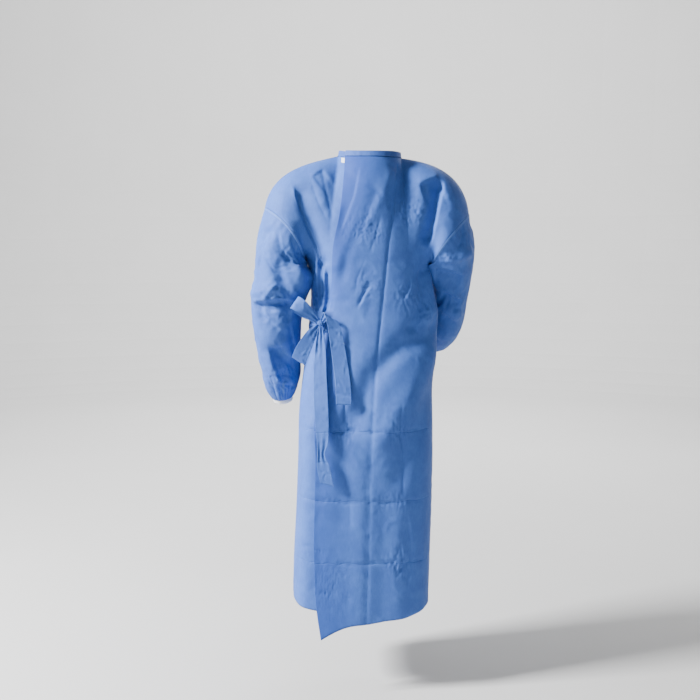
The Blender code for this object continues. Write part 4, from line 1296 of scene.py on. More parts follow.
    def under(self) -> Cloth:
        """Shapes the left back panel, whose free edge lies hidden under the wrap."""
        row = self.rows()
        inner = np.linspace(self.under_edge, BODY.left_neck, self.under_neck_column + 1)
        outer = np.linspace(BODY.left_neck, 1, self.under_columns)[1:]
        share = np.concatenate([inner, outer])[None, :] + 0 * row
        across = (share - self.under_edge) / (1 - self.under_edge)
        points = BODY.surface(Face.BACK, share, row, self.hem_under.read("z", across))
        cloth = Cloth(points, 1.0)
        fade = self.fold(cloth, Face.BACK, ("bottom", "first"))
        covered = self.edge() + self.cover_margin
        level = BODY.left_neck + (1 - BODY.left_neck) * np.clip(row / self.level_row, 0, 1)
        depth = np.clip((level - share) / (level - covered), 0, 1)
        cloth.push(-depth * self.layer_mm * MM)
        shown = ease((share - self.edge() + self.hidden_share) / self.hidden_share)
        return self.press(cloth, Face.BACK, self.under_wrinkle, fade * shown)


@dataclass
class SleeveForm:
    """One sleeve: its rings, its creases at the back and at the front."""

    name: str
    side: Side
    rings: Table
    back: tuple[Crease, ...]
    back_fine: tuple[Crease, ...]
    front_fine: tuple[Crease, ...]
    crumples: tuple[Crumple, ...]
    flaps: tuple[Flap, ...]
    around: int = 128
    rows: int = 150
    fold_fade_mm: float = 50.0
    crease_fade_mm: float = 18.0
    wrinkle_mm: float = 34.0
    wrinkle_out_mm: float = 2.6
    wrinkle_seed: float = 5.0
    gathers: int = 22
    gather_drift: float = 4.0
    gather_mm: float = 1.6
    gather_reach: tuple[float, float] = (0.038, 0.006)
    gather_noise: tuple[float, float] = (5.0, 9.0)
    pucker_mm: float = 2.2
    pucker_reach: tuple[float, float] = (0.026, 0.010)
    pucker_noise: tuple[float, float] = (7.0, 2.0)

    def turns(self, count: int) -> Grid:
        """Places points round the sleeve, in degrees."""
        return np.arange(count) * 360.0 / count

    def ring(self, values: Mapping[str, float], turns: Grid) -> Grid:
        """Finds the points of one ring.

        Args:
            values: The ring's sizes by name.
            turns: Places round it, in degrees.

        Returns:
            The points.
        """
        face = unit(np.array([values["face_x"], values["face_y"], values["face_z"]]))
        out = np.array([float(self.side.value), 0.0, 0.0])
        wide = unit(out - (out @ face) * face)
        deep = np.cross(face, wide) * -self.side.value
        centre = np.array([values["x"], values["y"], values["z"]])
        angle = np.radians(turns)[:, None]
        across = values["half_width"] * np.cos(angle) * wide
        return centre + across + values["half_depth"] * np.sin(angle) * deep

    def shape(self) -> Cloth:
        """Shapes the sleeve from the armhole through its rings to the wrist."""
        turns = self.turns(self.around)
        keys = [0.0] + [row[0] for row in self.rings.rows]
        loops = [BODY.armhole(self.side, turns)]
        loops += [self.ring(dict(zip(self.rings.columns, row)), turns) for row in self.rings.rows]
        loops = np.array(loops)
        at = np.linspace(0, 1, self.rows + 1)
        points = np.empty((len(at), self.around, 3))
        for point in range(self.around):
            for axis in range(3):
                points[:, point, axis] = smooth_curve(keys, loops[:, point, axis], at)
        cloth = Cloth(points, -float(self.side.value), closed=True)
        wide = edge_fade(cloth, self.fold_fade_mm)
        narrow = edge_fade(cloth, self.crease_fade_mm)
        for flap in self.flaps:
            cloth.points = cloth.points + flap.moved(cloth.points) * narrow[..., None]
        cloth.crease(self.back, Face.BACK, wide)
        cloth.crease(self.back_fine, Face.BACK, narrow)
        cloth.crease(self.front_fine, Face.FRONT, narrow)
        for face in Face:
            cloth.crumple(self.crumples, face, narrow)
        seed = self.wrinkle_seed + self.side.value
        cloth.wrinkle(Wrinkle(self.wrinkle_mm, self.wrinkle_out_mm, seed), narrow)
        self.gather(cloth)
        return cloth

    def gather(self, cloth: Cloth) -> None:
        """Puckers the cloth along the armhole and gathers it into the cuff.

        Args:
            cloth: The sleeve's cloth.
        """
        _, down = cloth.spans()
        down = down[:, :-1]
        left = down[-1] - down
        turn = np.arange(self.around) / self.around
        drift = self.round_noise(turn, *self.gather_noise) * self.gather_drift
        waves = np.cos(turn * math.tau * self.gathers + drift)
        pucker = self.round_noise(turn, *self.pucker_noise)
        at_top = self.near(down, *self.pucker_reach)
        at_cuff = self.near(left, *self.gather_reach)
        height = pucker[None, :] * at_top * self.pucker_mm + waves[None, :] * at_cuff * self.gather_mm
        cloth.push(height * MM)

    @staticmethod
    def round_noise(turn: Grid, size: float, seed: float) -> Grid:
        """Makes smooth noise that closes on itself round the sleeve."""
        ring = np.stack([np.cos(turn * math.tau), np.sin(turn * math.tau)], axis=-1)
        return np.array([noise.noise(Vector((x * size, y * size, seed))) for x, y in ring])

    @staticmethod
    def near(gap: Grid, reach: float, start: float) -> Grid:
        """Fades a pattern out away from a seam, and in right at it."""
        return np.exp(-((gap / reach) ** 2)) * ease(gap / start)


RING_COLUMNS = ("at", "x", "y", "z", "half_width", "half_depth", "face_x", "face_y", "face_z")
LEFT_SLEEVE = SleeveForm(
    name="sleeve_left",
    side=Side.LEFT,
    rings=Table(
        RING_COLUMNS,
        (
            (0.10, 0.2350, 0.0080, -0.2820, 0.0740, 0.0880, 0.55, 0.00, -0.84),
            (0.22, 0.2340, 0.0200, -0.3400, 0.0715, 0.0760, 0.16, 0.05, -0.98),
            (0.36, 0.2425, 0.0220, -0.4150, 0.0725, 0.0700, 0.02, -0.02, -1.0),
            (0.52, 0.2450, 0.0140, -0.4950, 0.0660, 0.0630, -0.02, -0.15, -1.0),
            (0.68, 0.2410, -0.0040, -0.5700, 0.0590, 0.0560, -0.05, -0.24, -0.96),
            (0.82, 0.2370, -0.0240, -0.6320, 0.0540, 0.0500, -0.05, -0.28, -0.95),
            (0.92, 0.2380, -0.0360, -0.6700, 0.0430, 0.0420, -0.05, -0.28, -0.95),
            (1.00, 0.2350, -0.0440, -0.6960, 0.0300, 0.0330, -0.10, -0.26, -0.95),
        ),
    ),
    back=(
        Crease(LIP, -14, 14, ((190, -416), (231, -409), (280, -414), (310, -424)), 0.15),
        Crease(ROLL, 11, 15, ((306, -398), (262, -384), (196, -392)), 0.0),
        Crease(ROLL, 8, 14, ((176, -330), (172, -380)), 0.0),
        Crease(LIP, -11, 24, ((270, -545), (254, -600), (234, -656)), 0.2),
        Crease(ROLL, -8.5, 16, ((256, -556), (200, -600)), 0.0),
        Crease(ROLL, -8.5, 15, ((232, -330), (214, -392)), 0.0),
        Crease(ROLL, -8.5, 14, ((262, -232), (290, -262)), 0.0),
    ),
    back_fine=(
        Crease(TUCK, 5, 9, ((234, -366), (262, -398), (277, -428))),
        Crease(TUCK, 3.5, 9, ((292, -242), (285, -290), (293, -336))),
        Crease(TUCK, -4, 11, ((240, -210), (226, -270), (200, -320))),
        Crease(TUCK, 4, 11, ((206, -236), (196, -290), (176, -326))),
        Crease(PRESS, -3.5, 7, ((270, -300), (246, -336), (214, -350))),
        Crease(TUCK, -4, 12, ((296, -452), (262, -470), (226, -504))),
        Crease(TUCK, -4, 10, ((208, -470), (196, -540), (190, -610))),
        Crease(PRESS, -3.5, 8, ((246, -520), (226, -566), (196, -588))),
        Crease(TUCK, -4, 8, ((262, -640), (254, -672), (246, -692))),
        Crease(TUCK, -4, 8, ((228, -640), (232, -670), (230, -692))),
    ),
    front_fine=(
        Crease(LIP, -8.5, 16, ((300, -424), (250, -410), (200, -420)), 0.2),
        Crease(LIP, -8.5, 16, ((306, -470), (250, -462), (196, -480)), 0.2),
        Crease(TUCK, 7, 12, ((210, -250), (236, -320), (276, -380))),
        Crease(TUCK, -5.5, 12, ((276, -230), (256, -300), (216, -350))),
        Crease(TUCK, -7, 15, ((262, -520), (244, -590), (236, -660))),
        Crease(PRESS, -4, 8, ((290, -550), (250, -570), (210, -560))),
    ),
    crumples=(
        Crumple((240, -412), 46, 4, 16),
        Crumple((196, -300), 34, 4, 14),
        Crumple((236, -640), 42, 3, 13),
        Crumple((270, -250), 44, 2.3, 15),
    ),
    flaps=(
        Flap((162, 30, -350), (26, 46, 56), (-24, 10, 0)),
        Flap((190, 78, -345), (30, 30, 34), (-12, 12, 0)),
    ),
)
RIGHT_SLEEVE = SleeveForm(
    name="sleeve_right",
    side=Side.RIGHT,
    rings=Table(
        RING_COLUMNS,
        (
            (0.10, -0.2450, -0.0040, -0.2980, 0.0670, 0.0860, -0.50, 0.00, -0.86),
            (0.22, -0.2460, -0.0240, -0.3550, 0.0530, 0.0720, -0.10, -0.15, -0.98),
            (0.34, -0.2410, -0.0520, -0.4150, 0.0500, 0.0640, 0.05, -0.40, -0.90),
            (0.46, -0.2330, -0.0840, -0.4740, 0.0510, 0.0640, 0.20, -0.70, -0.66),
            (0.60, -0.2160, -0.1300, -0.5130, 0.0540, 0.0600, 0.42, -0.80, -0.40),
            (0.74, -0.1830, -0.1800, -0.5350, 0.0480, 0.0540, 0.52, -0.76, -0.36),
            (0.88, -0.1460, -0.2280, -0.5540, 0.0420, 0.0440, 0.56, -0.74, -0.34),
            (1.00, -0.1180, -0.2620, -0.5700, 0.0300, 0.0330, 0.58, -0.72, -0.36),
        ),
    ),
    back=(
        Crease(LIP, -11, 15, ((-272, -348), (-226, -332), (-190, -326)), 0.15),
        Crease(ROLL, 10, 14, ((-214, -300), (-246, -302), (-280, -286)), 0.0),
        Crease(LIP, -8.5, 14, ((-272, -420), (-244, -404), (-212, -390)), 0.15),
        Crease(ROLL, 10, 16, ((-214, -436), (-256, -462)), 0.0),
    ),
    back_fine=(
        Crease(TUCK, 3, 9, ((-210, -286), (-238, -312), (-262, -340))),
        Crease(TUCK, -4, 9, ((-262, -200), (-262, -250), (-246, -290))),
        Crease(PRESS, -3.5, 7, ((-226, -352), (-250, -380), (-268, -392))),
        Crease(TUCK, -4, 10, ((-220, -456), (-246, -480), (-262, -486))),
    ),
    front_fine=(
        Crease(LIP, -10, 15, ((-288, -400), (-250, -392), (-206, -404)), 0.2),
        Crease(LIP, -8.5, 14, ((-286, -440), (-246, -436), (-200, -452)), 0.2),
        Crease(TUCK, 7, 12, ((-280, -300), (-250, -350), (-212, -372))),
        Crease(TUCK, -5.5, 12, ((-216, -240), (-240, -300), (-274, -340))),
        Crease(PRESS, -5.5, 10, ((-230, -500), (-190, -520), (-156, -530))),
        Crease(TUCK, -5.5, 10, ((-170, -560), (-196, -530), (-220, -480))),
    ),
    crumples=(
        Crumple((-220, -310), 40, 2.4, 14),
        Crumple((-240, -430), 40, 4, 15),
        Crumple((-170, -530), 44, 3.5, 13),
        Crumple((-266, -240), 40, 2.3, 15),
    ),
    flaps=(
        Flap((-196, 30, -345), (30, 44, 52), (24, 16, 0)),
    ),
)


@dataclass
class SeamBand:
    """Narrow strip that covers a seam: its width, how far it stands proud and sinks, and its steps across."""

    name: str
    width_mm: float = 6.5
    proud_mm: float = 0.5
    sunk_mm: float = 0.25
    steps: int = 7

    def round_armhole(self, sleeve: Cloth) -> Cloth:
        """Lays the strip on the sleeve's first rows, all the way round.

        Args:
            sleeve: The sleeve's cloth.

        Returns:
            The strip's cloth.
        """
        steps = np.linspace(0, 1, self.steps)
        _, down = sleeve.spans()
        reach = self.width_mm * MM
        points = np.empty((len(steps), sleeve.points.shape[1], 3))
        out = sleeve.normals()
        for column in range(sleeve.points.shape[1]):
            at = reach * steps
            for axis in range(3):
                points[:, column, axis] = np.interp(at, down[:, column], sleeve.points[:, column, axis])
        crown = np.sqrt(np.clip(1 - (2 * steps - 1) ** 4, 0, 1))
        lift = (self.proud_mm + self.sunk_mm) * crown - self.sunk_mm
        points = points + lift[:, None, None] * MM * out[1][None, :, :]
        return Cloth(points, sleeve.outward, closed=True)

    def along(self, line: Grid, out: Grid, across: Grid) -> Cloth:
        """Lays the strip along a line.

        Args:
            line: Points of the seam.
            out: Way out of the cloth at each.
            across: Way across the strip at each.

        Returns:
            The strip's cloth.
        """
        steps = np.linspace(-1, 1, self.steps)[:, None, None]
        crown = np.sqrt(np.clip(1 - steps**4, 0, 1)) * (self.proud_mm + self.sunk_mm) - self.sunk_mm
        points = line + across * steps * self.width_mm * MM / 2 + out * crown * MM
        sign = np.sign(np.sum(np.cross(line[1] - line[0], points[1, 0] - points[0, 0]) * out[0]))
        return Cloth(points, float(sign))


@dataclass
class Stitches:
    """Lockstitch rows: pitch, thread thickness and the share of the pitch that shows."""

    pitch_mm: float = 3.2
    thread_mm: float = 0.55
    shown: float = 0.72
    lift_mm: float = 0.1

    def row(self, shape: bmesh.types.BMesh, line: Grid, out: Grid) -> None:
        """Sews one row into a mesh.

        Args:
            shape: The mesh that the stitches go into.
            line: Points of the row.
            out: Way out of the cloth at each.
        """
        gaps = np.linalg.norm(np.diff(line, axis=0), axis=1)
        at = np.concatenate([[0.0], np.cumsum(gaps)])
        count = int(at[-1] / (self.pitch_mm * MM))
        for index in range(count):
            middle = (index + 0.5) * at[-1] / count
            half = self.pitch_mm * MM * self.shown / 2
            first = np.array([np.interp(middle - half, at, line[:, axis]) for axis in range(3)])
            last = np.array([np.interp(middle + half, at, line[:, axis]) for axis in range(3)])
            up = unit(np.array([np.interp(middle, at, out[:, axis]) for axis in range(3)]))
            run = Vector(unit(last - first))
            rise = Vector(up)
            side = rise.cross(run).normalized()
            rise = run.cross(side).normalized()
            turned = Matrix((run, side, rise)).transposed().to_4x4()
            length = float(np.linalg.norm(last - first))
            size = Matrix.Diagonal((length, self.thread_mm * MM, self.thread_mm * MM, 1.0))
            centre = Vector((first + last) / 2 + up * self.lift_mm * MM)
            bmesh.ops.create_icosphere(
                shape, subdivisions=1, radius=0.5, matrix=Matrix.Translation(centre) @ turned @ size
            )

    def place(self, name: str, rows: Iterable[tuple[Grid, Grid]], thread: bpy.types.Material) -> None:
        """Makes one piece of several rows and rides it on the gown's body.

        Args:
            name: The piece's name.
            rows: Lines with the way out of the cloth at each point.
            thread: The thread's material.
        """
        shape = bmesh.new()
        for line, out in rows:
            self.row(shape, line, out)
        mesh = new_mesh(name, shape)
        mesh.shade_smooth()
        mesh.materials.append(thread)
        thing = link_object(name, mesh)
        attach(thing, "root")
        LOG.info("%s: %d faces of thread", name, len(mesh.polygons))


@dataclass
class Cuff:
    """Rib-knit cuff: a tube that shows a little past the sleeve's end and runs up inside it."""

    name: str
    sleeve: SleeveForm
    rings: Table = Table(
        ("along", "size"),
        ((-0.048, 0.86), (-0.020, 0.90), (-0.004, 0.97), (0.004, 1.00), (0.0095, 0.975), (0.012, 0.95)),
    )
    wall_mm: float = 1.5
    sleeve_wall_mm: float = 1.5
    seam_gap_mm: float = 0.3
    ribs: int = 56
    rib_columns: int = 5
    rib_mm: float = 0.45
    rows: int = 26

    def shape(self) -> Cloth:
        """Shapes the cuff with its ribs."""
        count = self.ribs * self.rib_columns
        last = dict(zip(self.sleeve.rings.columns, self.sleeve.rings.rows[-1]))
        face = unit(np.array([last["face_x"], last["face_y"], last["face_z"]]))
        for size in ("half_width", "half_depth"):
            last[size] -= (self.sleeve_wall_mm + self.seam_gap_mm) * MM
        ring = self.sleeve.ring(last, self.sleeve.turns(count))
        centre = ring.mean(axis=0)
        along = np.linspace(self.rings.rows[0][0], self.rings.rows[-1][0], self.rows)
        size = self.rings.read("size", along)
        points = centre + (ring - centre)[None, :, :] * size[:, None, None] + face * along[:, None, None]
        cloth = Cloth(points, -float(self.sleeve.side.value), closed=True)
        rib = np.cos(np.arange(count) / count * math.tau * self.ribs)
        cloth.push(np.broadcast_to(rib, points.shape[:2]) * self.rib_mm * MM)
        return cloth


@dataclass
class NeckBinding:
    """Folded strip that stands on the neckline, from the wrap's corner round to its hidden end."""

    height_mm: float = 15.0
    wall_mm: float = 2.2
    seam_gap_mm: float = 0.3
    lift: float = 0.7
    smoothings: int = 6
    steps: tuple[int, int, int] = (14, 9, 10)
    foot_mm: float = 0.35
    foot_reach_mm: float = 1.6
    hidden_mm: float = 0.2
    swell_mm: float = 0.35
    swell_pitch: float = 0.25
    swell_seed: float = 4.0

    def line(self, front: Cloth, wrap: Cloth, under: Cloth) -> tuple[Grid, Grid]:
        """Joins the three panels' neck edges into one line.

        Args:
            front: The front panel.
            wrap: The wrap.
            under: The panel under the wrap.

        Returns:
            The line's points and the way out of the cloth at each.
        """
        corner = BodyPanels.side_columns - 1
        runs = (
            (wrap, np.arange(wrap.points.shape[1] - 1, corner - 1, -1)),
            (front, np.arange(corner, front.points.shape[1] - corner)),
            (under, np.arange(BodyPanels.under_neck_column, -1, -1)),
        )
        line = np.concatenate([cloth.points[0, columns] for cloth, columns in runs])
        out = np.concatenate([cloth.normals()[1, columns] for cloth, columns in runs])
        kept = np.concatenate([[True], np.linalg.norm(np.diff(line, axis=0), axis=1) > 1e-5])
        line, out = line[kept], out[kept]
        for _ in range(self.smoothings):
            out[1:-1] = unit(out[:-2] + 2 * out[1:-1] + out[2:])
        return line, out

    def frame(self, line: Grid, out: Grid) -> tuple[Grid, Grid]:
        """Finds how the strip stands on the neckline.

        Args:
            line: Points of the neckline.
            out: Way out of the cloth at each.

        Returns:
            The strip's way up and its way out at each point.
        """
        along = unit(np.gradient(line, axis=0))
        rise = unit(np.cross(out, along))
        rise = rise * np.sign(rise[:, 2:3])
        rise = unit(rise + np.array([0.0, 0.0, self.lift]))
        square = unit(np.cross(along, rise))
        return rise, square * np.sign(np.sum(square * out, axis=-1, keepdims=True))

    def shape(self, line: Grid, out: Grid) -> Cloth:
        """Shapes the strip: up its outer face, over the fold and down its inner face.

        Args:
            line: Points of the neckline.
            out: Way out of the cloth at each.

        Returns:
            The strip's cloth.
        """
        rise, square = self.frame(line, out)
        half = self.wall_mm / 2
        top = self.height_mm
        outer_steps, bend_steps, inner_steps = self.steps
        outer = []
        for height in np.linspace(0, top - half, outer_steps):
            flare = self.foot_mm * math.exp(-((height / self.foot_reach_mm) ** 2))
            outer.append((half + flare, height))
        turns = np.linspace(0, math.pi, bend_steps)[1:-1]
        bend = [(half * math.cos(turn), top - half + half * math.sin(turn)) for turn in turns]
        inner = [(-half, height) for height in np.linspace(top - half, self.hidden_mm, inner_steps)]
        profile = outer + bend + inner
        foot = line + rise * self.seam_gap_mm * MM
        wave = ripple(np.arange(len(line)) * self.swell_pitch, self.swell_seed) * self.swell_mm
        rows = []
        for side, height in profile:
            swell = wave * math.sin(math.pi * min(height / top, 1.0))
            rows.append(foot + rise * height * MM + square * ((side + swell)[:, None] * MM))
        return Cloth(np.array(rows), -1.0)


@dataclass
class Tie:
    """One flat tie or loop of the bow, along a table of centres."""

    name: str
    rows: tuple[tuple[float, ...], ...]
    knot_ends: tuple[int, ...]
    pleats: float = 2.0
    gather_mm: float = 1.7
    seed: float = 0.0
    crimps: tuple[tuple[float, float], ...] = ()
    crimp_slant: float = 0.06
    crimp_width: float = 0.05
    full_half_mm: float = 20.0
    gather_from: float = 0.75
    gather_drift: float = 0.3
    edge_mm: float = 0.35
    edge_reach_mm: float = 1.6
    wrinkle_mm: float = 15.0
    wrinkle_out_mm: float = 1.5
    wrinkle_seed: float = 30.0
    rows_each: int = 14
    columns: int = 24

    def shape(self, knot: "Knot") -> Cloth:
        """Shapes the tie, gathered where it is narrow.

        Args:
            knot: The knot that its ends meet.

        Returns:
            The tie's cloth.
        """
        table = [list(row) for row in self.rows]
        for end in self.knot_ends:
            table[end][:3] = knot.meet(table[end][:3])
        keys = np.arange(len(table), dtype=float)
        at = np.linspace(0, len(table) - 1, self.rows_each * (len(table) - 1) + 1)
        x, y, z, half, rise, lean = (smooth_curve(keys, column, at) for column in zip(*table))
        rise, lean = np.radians(rise), np.radians(lean)
        wide = np.stack([np.cos(rise) * np.cos(lean), np.sin(lean), np.sin(rise) * np.cos(lean)], axis=-1)
        across = np.linspace(-1, 1, self.columns + 1)
        steps = half[:, None] * across[None, :]
        points = np.stack([x, y, z], axis=-1)[:, None, :] + steps[..., None] * wide[:, None, :]
        cloth = Cloth(points, 1.0)
        tight = ease((self.full_half_mm * MM - half) / (self.full_half_mm * MM * self.gather_from))
        drift = self.seed + at[:, None] * self.gather_drift
        wave = np.cos(across[None, :] * math.pi * self.pleats + drift)
        cloth.push(wave * tight[:, None] * self.gather_mm * MM)
        edge = np.exp(-(((1 - np.abs(across)) * self.full_half_mm / self.edge_reach_mm) ** 2))
        cloth.push(np.broadcast_to(edge * self.edge_mm * MM, points.shape[:2]))
        for place, depth in self.crimps:
            slant = at[:, None] - place + self.crimp_slant * across[None, :]
            cloth.push(-depth * MM * np.exp(-np.abs(slant) / self.crimp_width) * np.ones_like(steps))
        fade = np.ones(points.shape[:2]) * ease(at[:, None] * 2.0)
        seed = self.wrinkle_seed + self.seed
        cloth.wrinkle(Wrinkle(self.wrinkle_mm, self.wrinkle_out_mm, seed), fade)
        return cloth


@dataclass
class Knot:
    """Knot of the bow: a band of the tie wound once round the rest."""

    centre: tuple[float, float, float] = (0.1210, 0.0975, -0.4755)
    half: tuple[float, float, float] = (0.0090, 0.0080, 0.0110)
    gap_mm: float = 0.5
    tilt_degrees: float = -24.0
    end_reach: float = 0.93
    body_size: float = 0.94
    fold_size: float = 0.10
    fold_count: float = 5.5
    fold_sway: float = 0.8
    slant_mm: float = 1.2
    rows: int = 30
    columns: int = 64

    def meet(self, place: Sequence[float]) -> Grid:
        """Draws a place straight towards the knot's middle until it all but meets the knot.

        Args:
            place: The place.

        Returns:
            The place that it is drawn to.
        """
        centre = np.array(self.centre)
        away = np.array(place) - centre
        surface = 1 / np.linalg.norm(away / np.array(self.half))
        return centre + away * surface + unit(away) * self.gap_mm * MM

    def shape(self) -> Cloth:
        """Shapes the band with its folds, drawn in at both sides."""
        turn = np.arange(self.columns) / self.columns * math.tau
        across = np.linspace(-1, 1, self.rows)[:, None]
        round_off = np.sqrt(np.clip(1 - (across * self.end_reach) ** 2, 0, 1))
        sway = self.fold_sway * np.sin(turn * 2)[None, :]
        folds = self.fold_size * np.abs(np.sin(across * self.fold_count + sway))
        size = round_off * (self.body_size + folds)
        x = across * self.half[0] + self.slant_mm * MM * np.sin(turn)[None, :]
        y = size * self.half[1] * np.cos(turn)[None, :]
        z = size * self.half[2] * np.sin(turn)[None, :]
        tilt = math.radians(self.tilt_degrees)
        turned_x = x * math.cos(tilt) - z * math.sin(tilt)
        turned_z = x * math.sin(tilt) + z * math.cos(tilt)
        points = np.stack([turned_x, y, turned_z], axis=-1)
        return Cloth(points + np.array(self.centre), 1.0, closed=True)


BOW = (
    Tie(
        "tie_side",
        (
            (0.1556, 0.0060, -0.4780, 0.0170, 95, 0),
            (0.1540, 0.0300, -0.4765, 0.0150, 94, 0),
            (0.1450, 0.0560, -0.4755, 0.0110, 92, 0),
            (0.1320, 0.0800, -0.4755, 0.0070, 90, 0),
        ),
        (-1,),
        seed=1.0,
    ),
    Tie(
        "loop_upper",
        (
            (0.1330, 0.1000, -0.4660, 0.0070, 118, 10),
            (0.1480, 0.1080, -0.4500, 0.0140, 122, 6),
            (0.1730, 0.1160, -0.4290, 0.0190, 128, 4),
            (0.1900, 0.1090, -0.4190, 0.0190, 126, 0),
            (0.1880, 0.0950, -0.4270, 0.0180, 122, 0),
            (0.1640, 0.0860, -0.4490, 0.0140, 118, 0),
            (0.1320, 0.0900, -0.4640, 0.0065, 120, 0),
        ),
        (0, -1),
        seed=2.0,
    ),
    Tie(
        "loop_lower",
        (
            (0.1310, 0.1010, -0.4840, 0.0065, 50, 10),
            (0.1470, 0.1080, -0.5070, 0.0150, 34, 6),
            (0.1660, 0.1130, -0.5430, 0.0200, 34, 4),
            (0.1810, 0.1070, -0.5750, 0.0200, 34, 0),
            (0.1790, 0.0950, -0.5730, 0.0190, 34, 0),
            (0.1610, 0.0880, -0.5390, 0.0150, 34, 0),
            (0.1310, 0.0900, -0.4880, 0.0065, 52, 0),
        ),
        (0, -1),
        seed=3.0,
    ),
    Tie(
        "tail_short",
        (
            (0.1150, 0.1060, -0.4660, 0.0070, 60, 10),
            (0.1060, 0.1170, -0.4550, 0.0130, 52, 10),
            (0.0910, 0.1210, -0.4640, 0.0170, 20, 10),
            (0.0810, 0.1210, -0.5000, 0.0190, 12, 4),
            (0.0710, 0.1250, -0.5600, 0.0200, 8, 2),
            (0.0610, 0.1360, -0.6300, 0.0205, 4, 2),
            (0.0580, 0.1480, -0.6900, 0.0205, 2, 2),
        ),
        (0,),
        seed=4.0,
        crimps=((3.4, 1.6), (5.55, 3.0), (5.72, -2.5)),
    ),
    Tie(
        "tail_long",
        (
            (0.1210, 0.1055, -0.4860, 0.0055, 4, 0),
            (0.1210, 0.1080, -0.5400, 0.0140, 4, -10),
            (0.1220, 0.1250, -0.6200, 0.0180, 2, -10),
            (0.1180, 0.1440, -0.7200, 0.0190, 0, -6),
            (0.1150, 0.1540, -0.7900, 0.0150, -6, -4),
            (0.1190, 0.1540, -0.8240, 0.0100, -10, 0),
            (0.1130, 0.1580, -0.8580, 0.0170, 0, -4),
            (0.1040, 0.1610, -0.9040, 0.0185, 14, -4),
        ),
        (0,),
        seed=5.0,
        crimps=((2.2, 1.2), (3.1, 1.2), (5.6, 1.8), (6.3, 1.6)),
    ),
)


@dataclass
class HookTab:
    """White hook tab under the wrap's corner, standing a little past its edge."""

    shares: tuple[float, float] = (0.585, 0.650)
    rows: tuple[float, float] = (0.020, 0.085)
    steps: int = 15
    below_mm: float = 2.3
    thick_mm: float = 1.0

    def shape(self, hem: float) -> Cloth:
        """Shapes the tab on the body's form, a layer further in.

        Args:
            hem: Height of the wrap's lowest corner.

        Returns:
            The tab's cloth.
        """
        share = np.linspace(*self.shares, self.steps)[None, :]
        row = np.linspace(*self.rows, self.steps)[:, None]
        cloth = Cloth(BODY.surface(Face.BACK, share, row, np.float64(hem)), 1.0)
        cloth.push(np.full(cloth.points.shape[:2], -self.below_mm * MM))
        return cloth


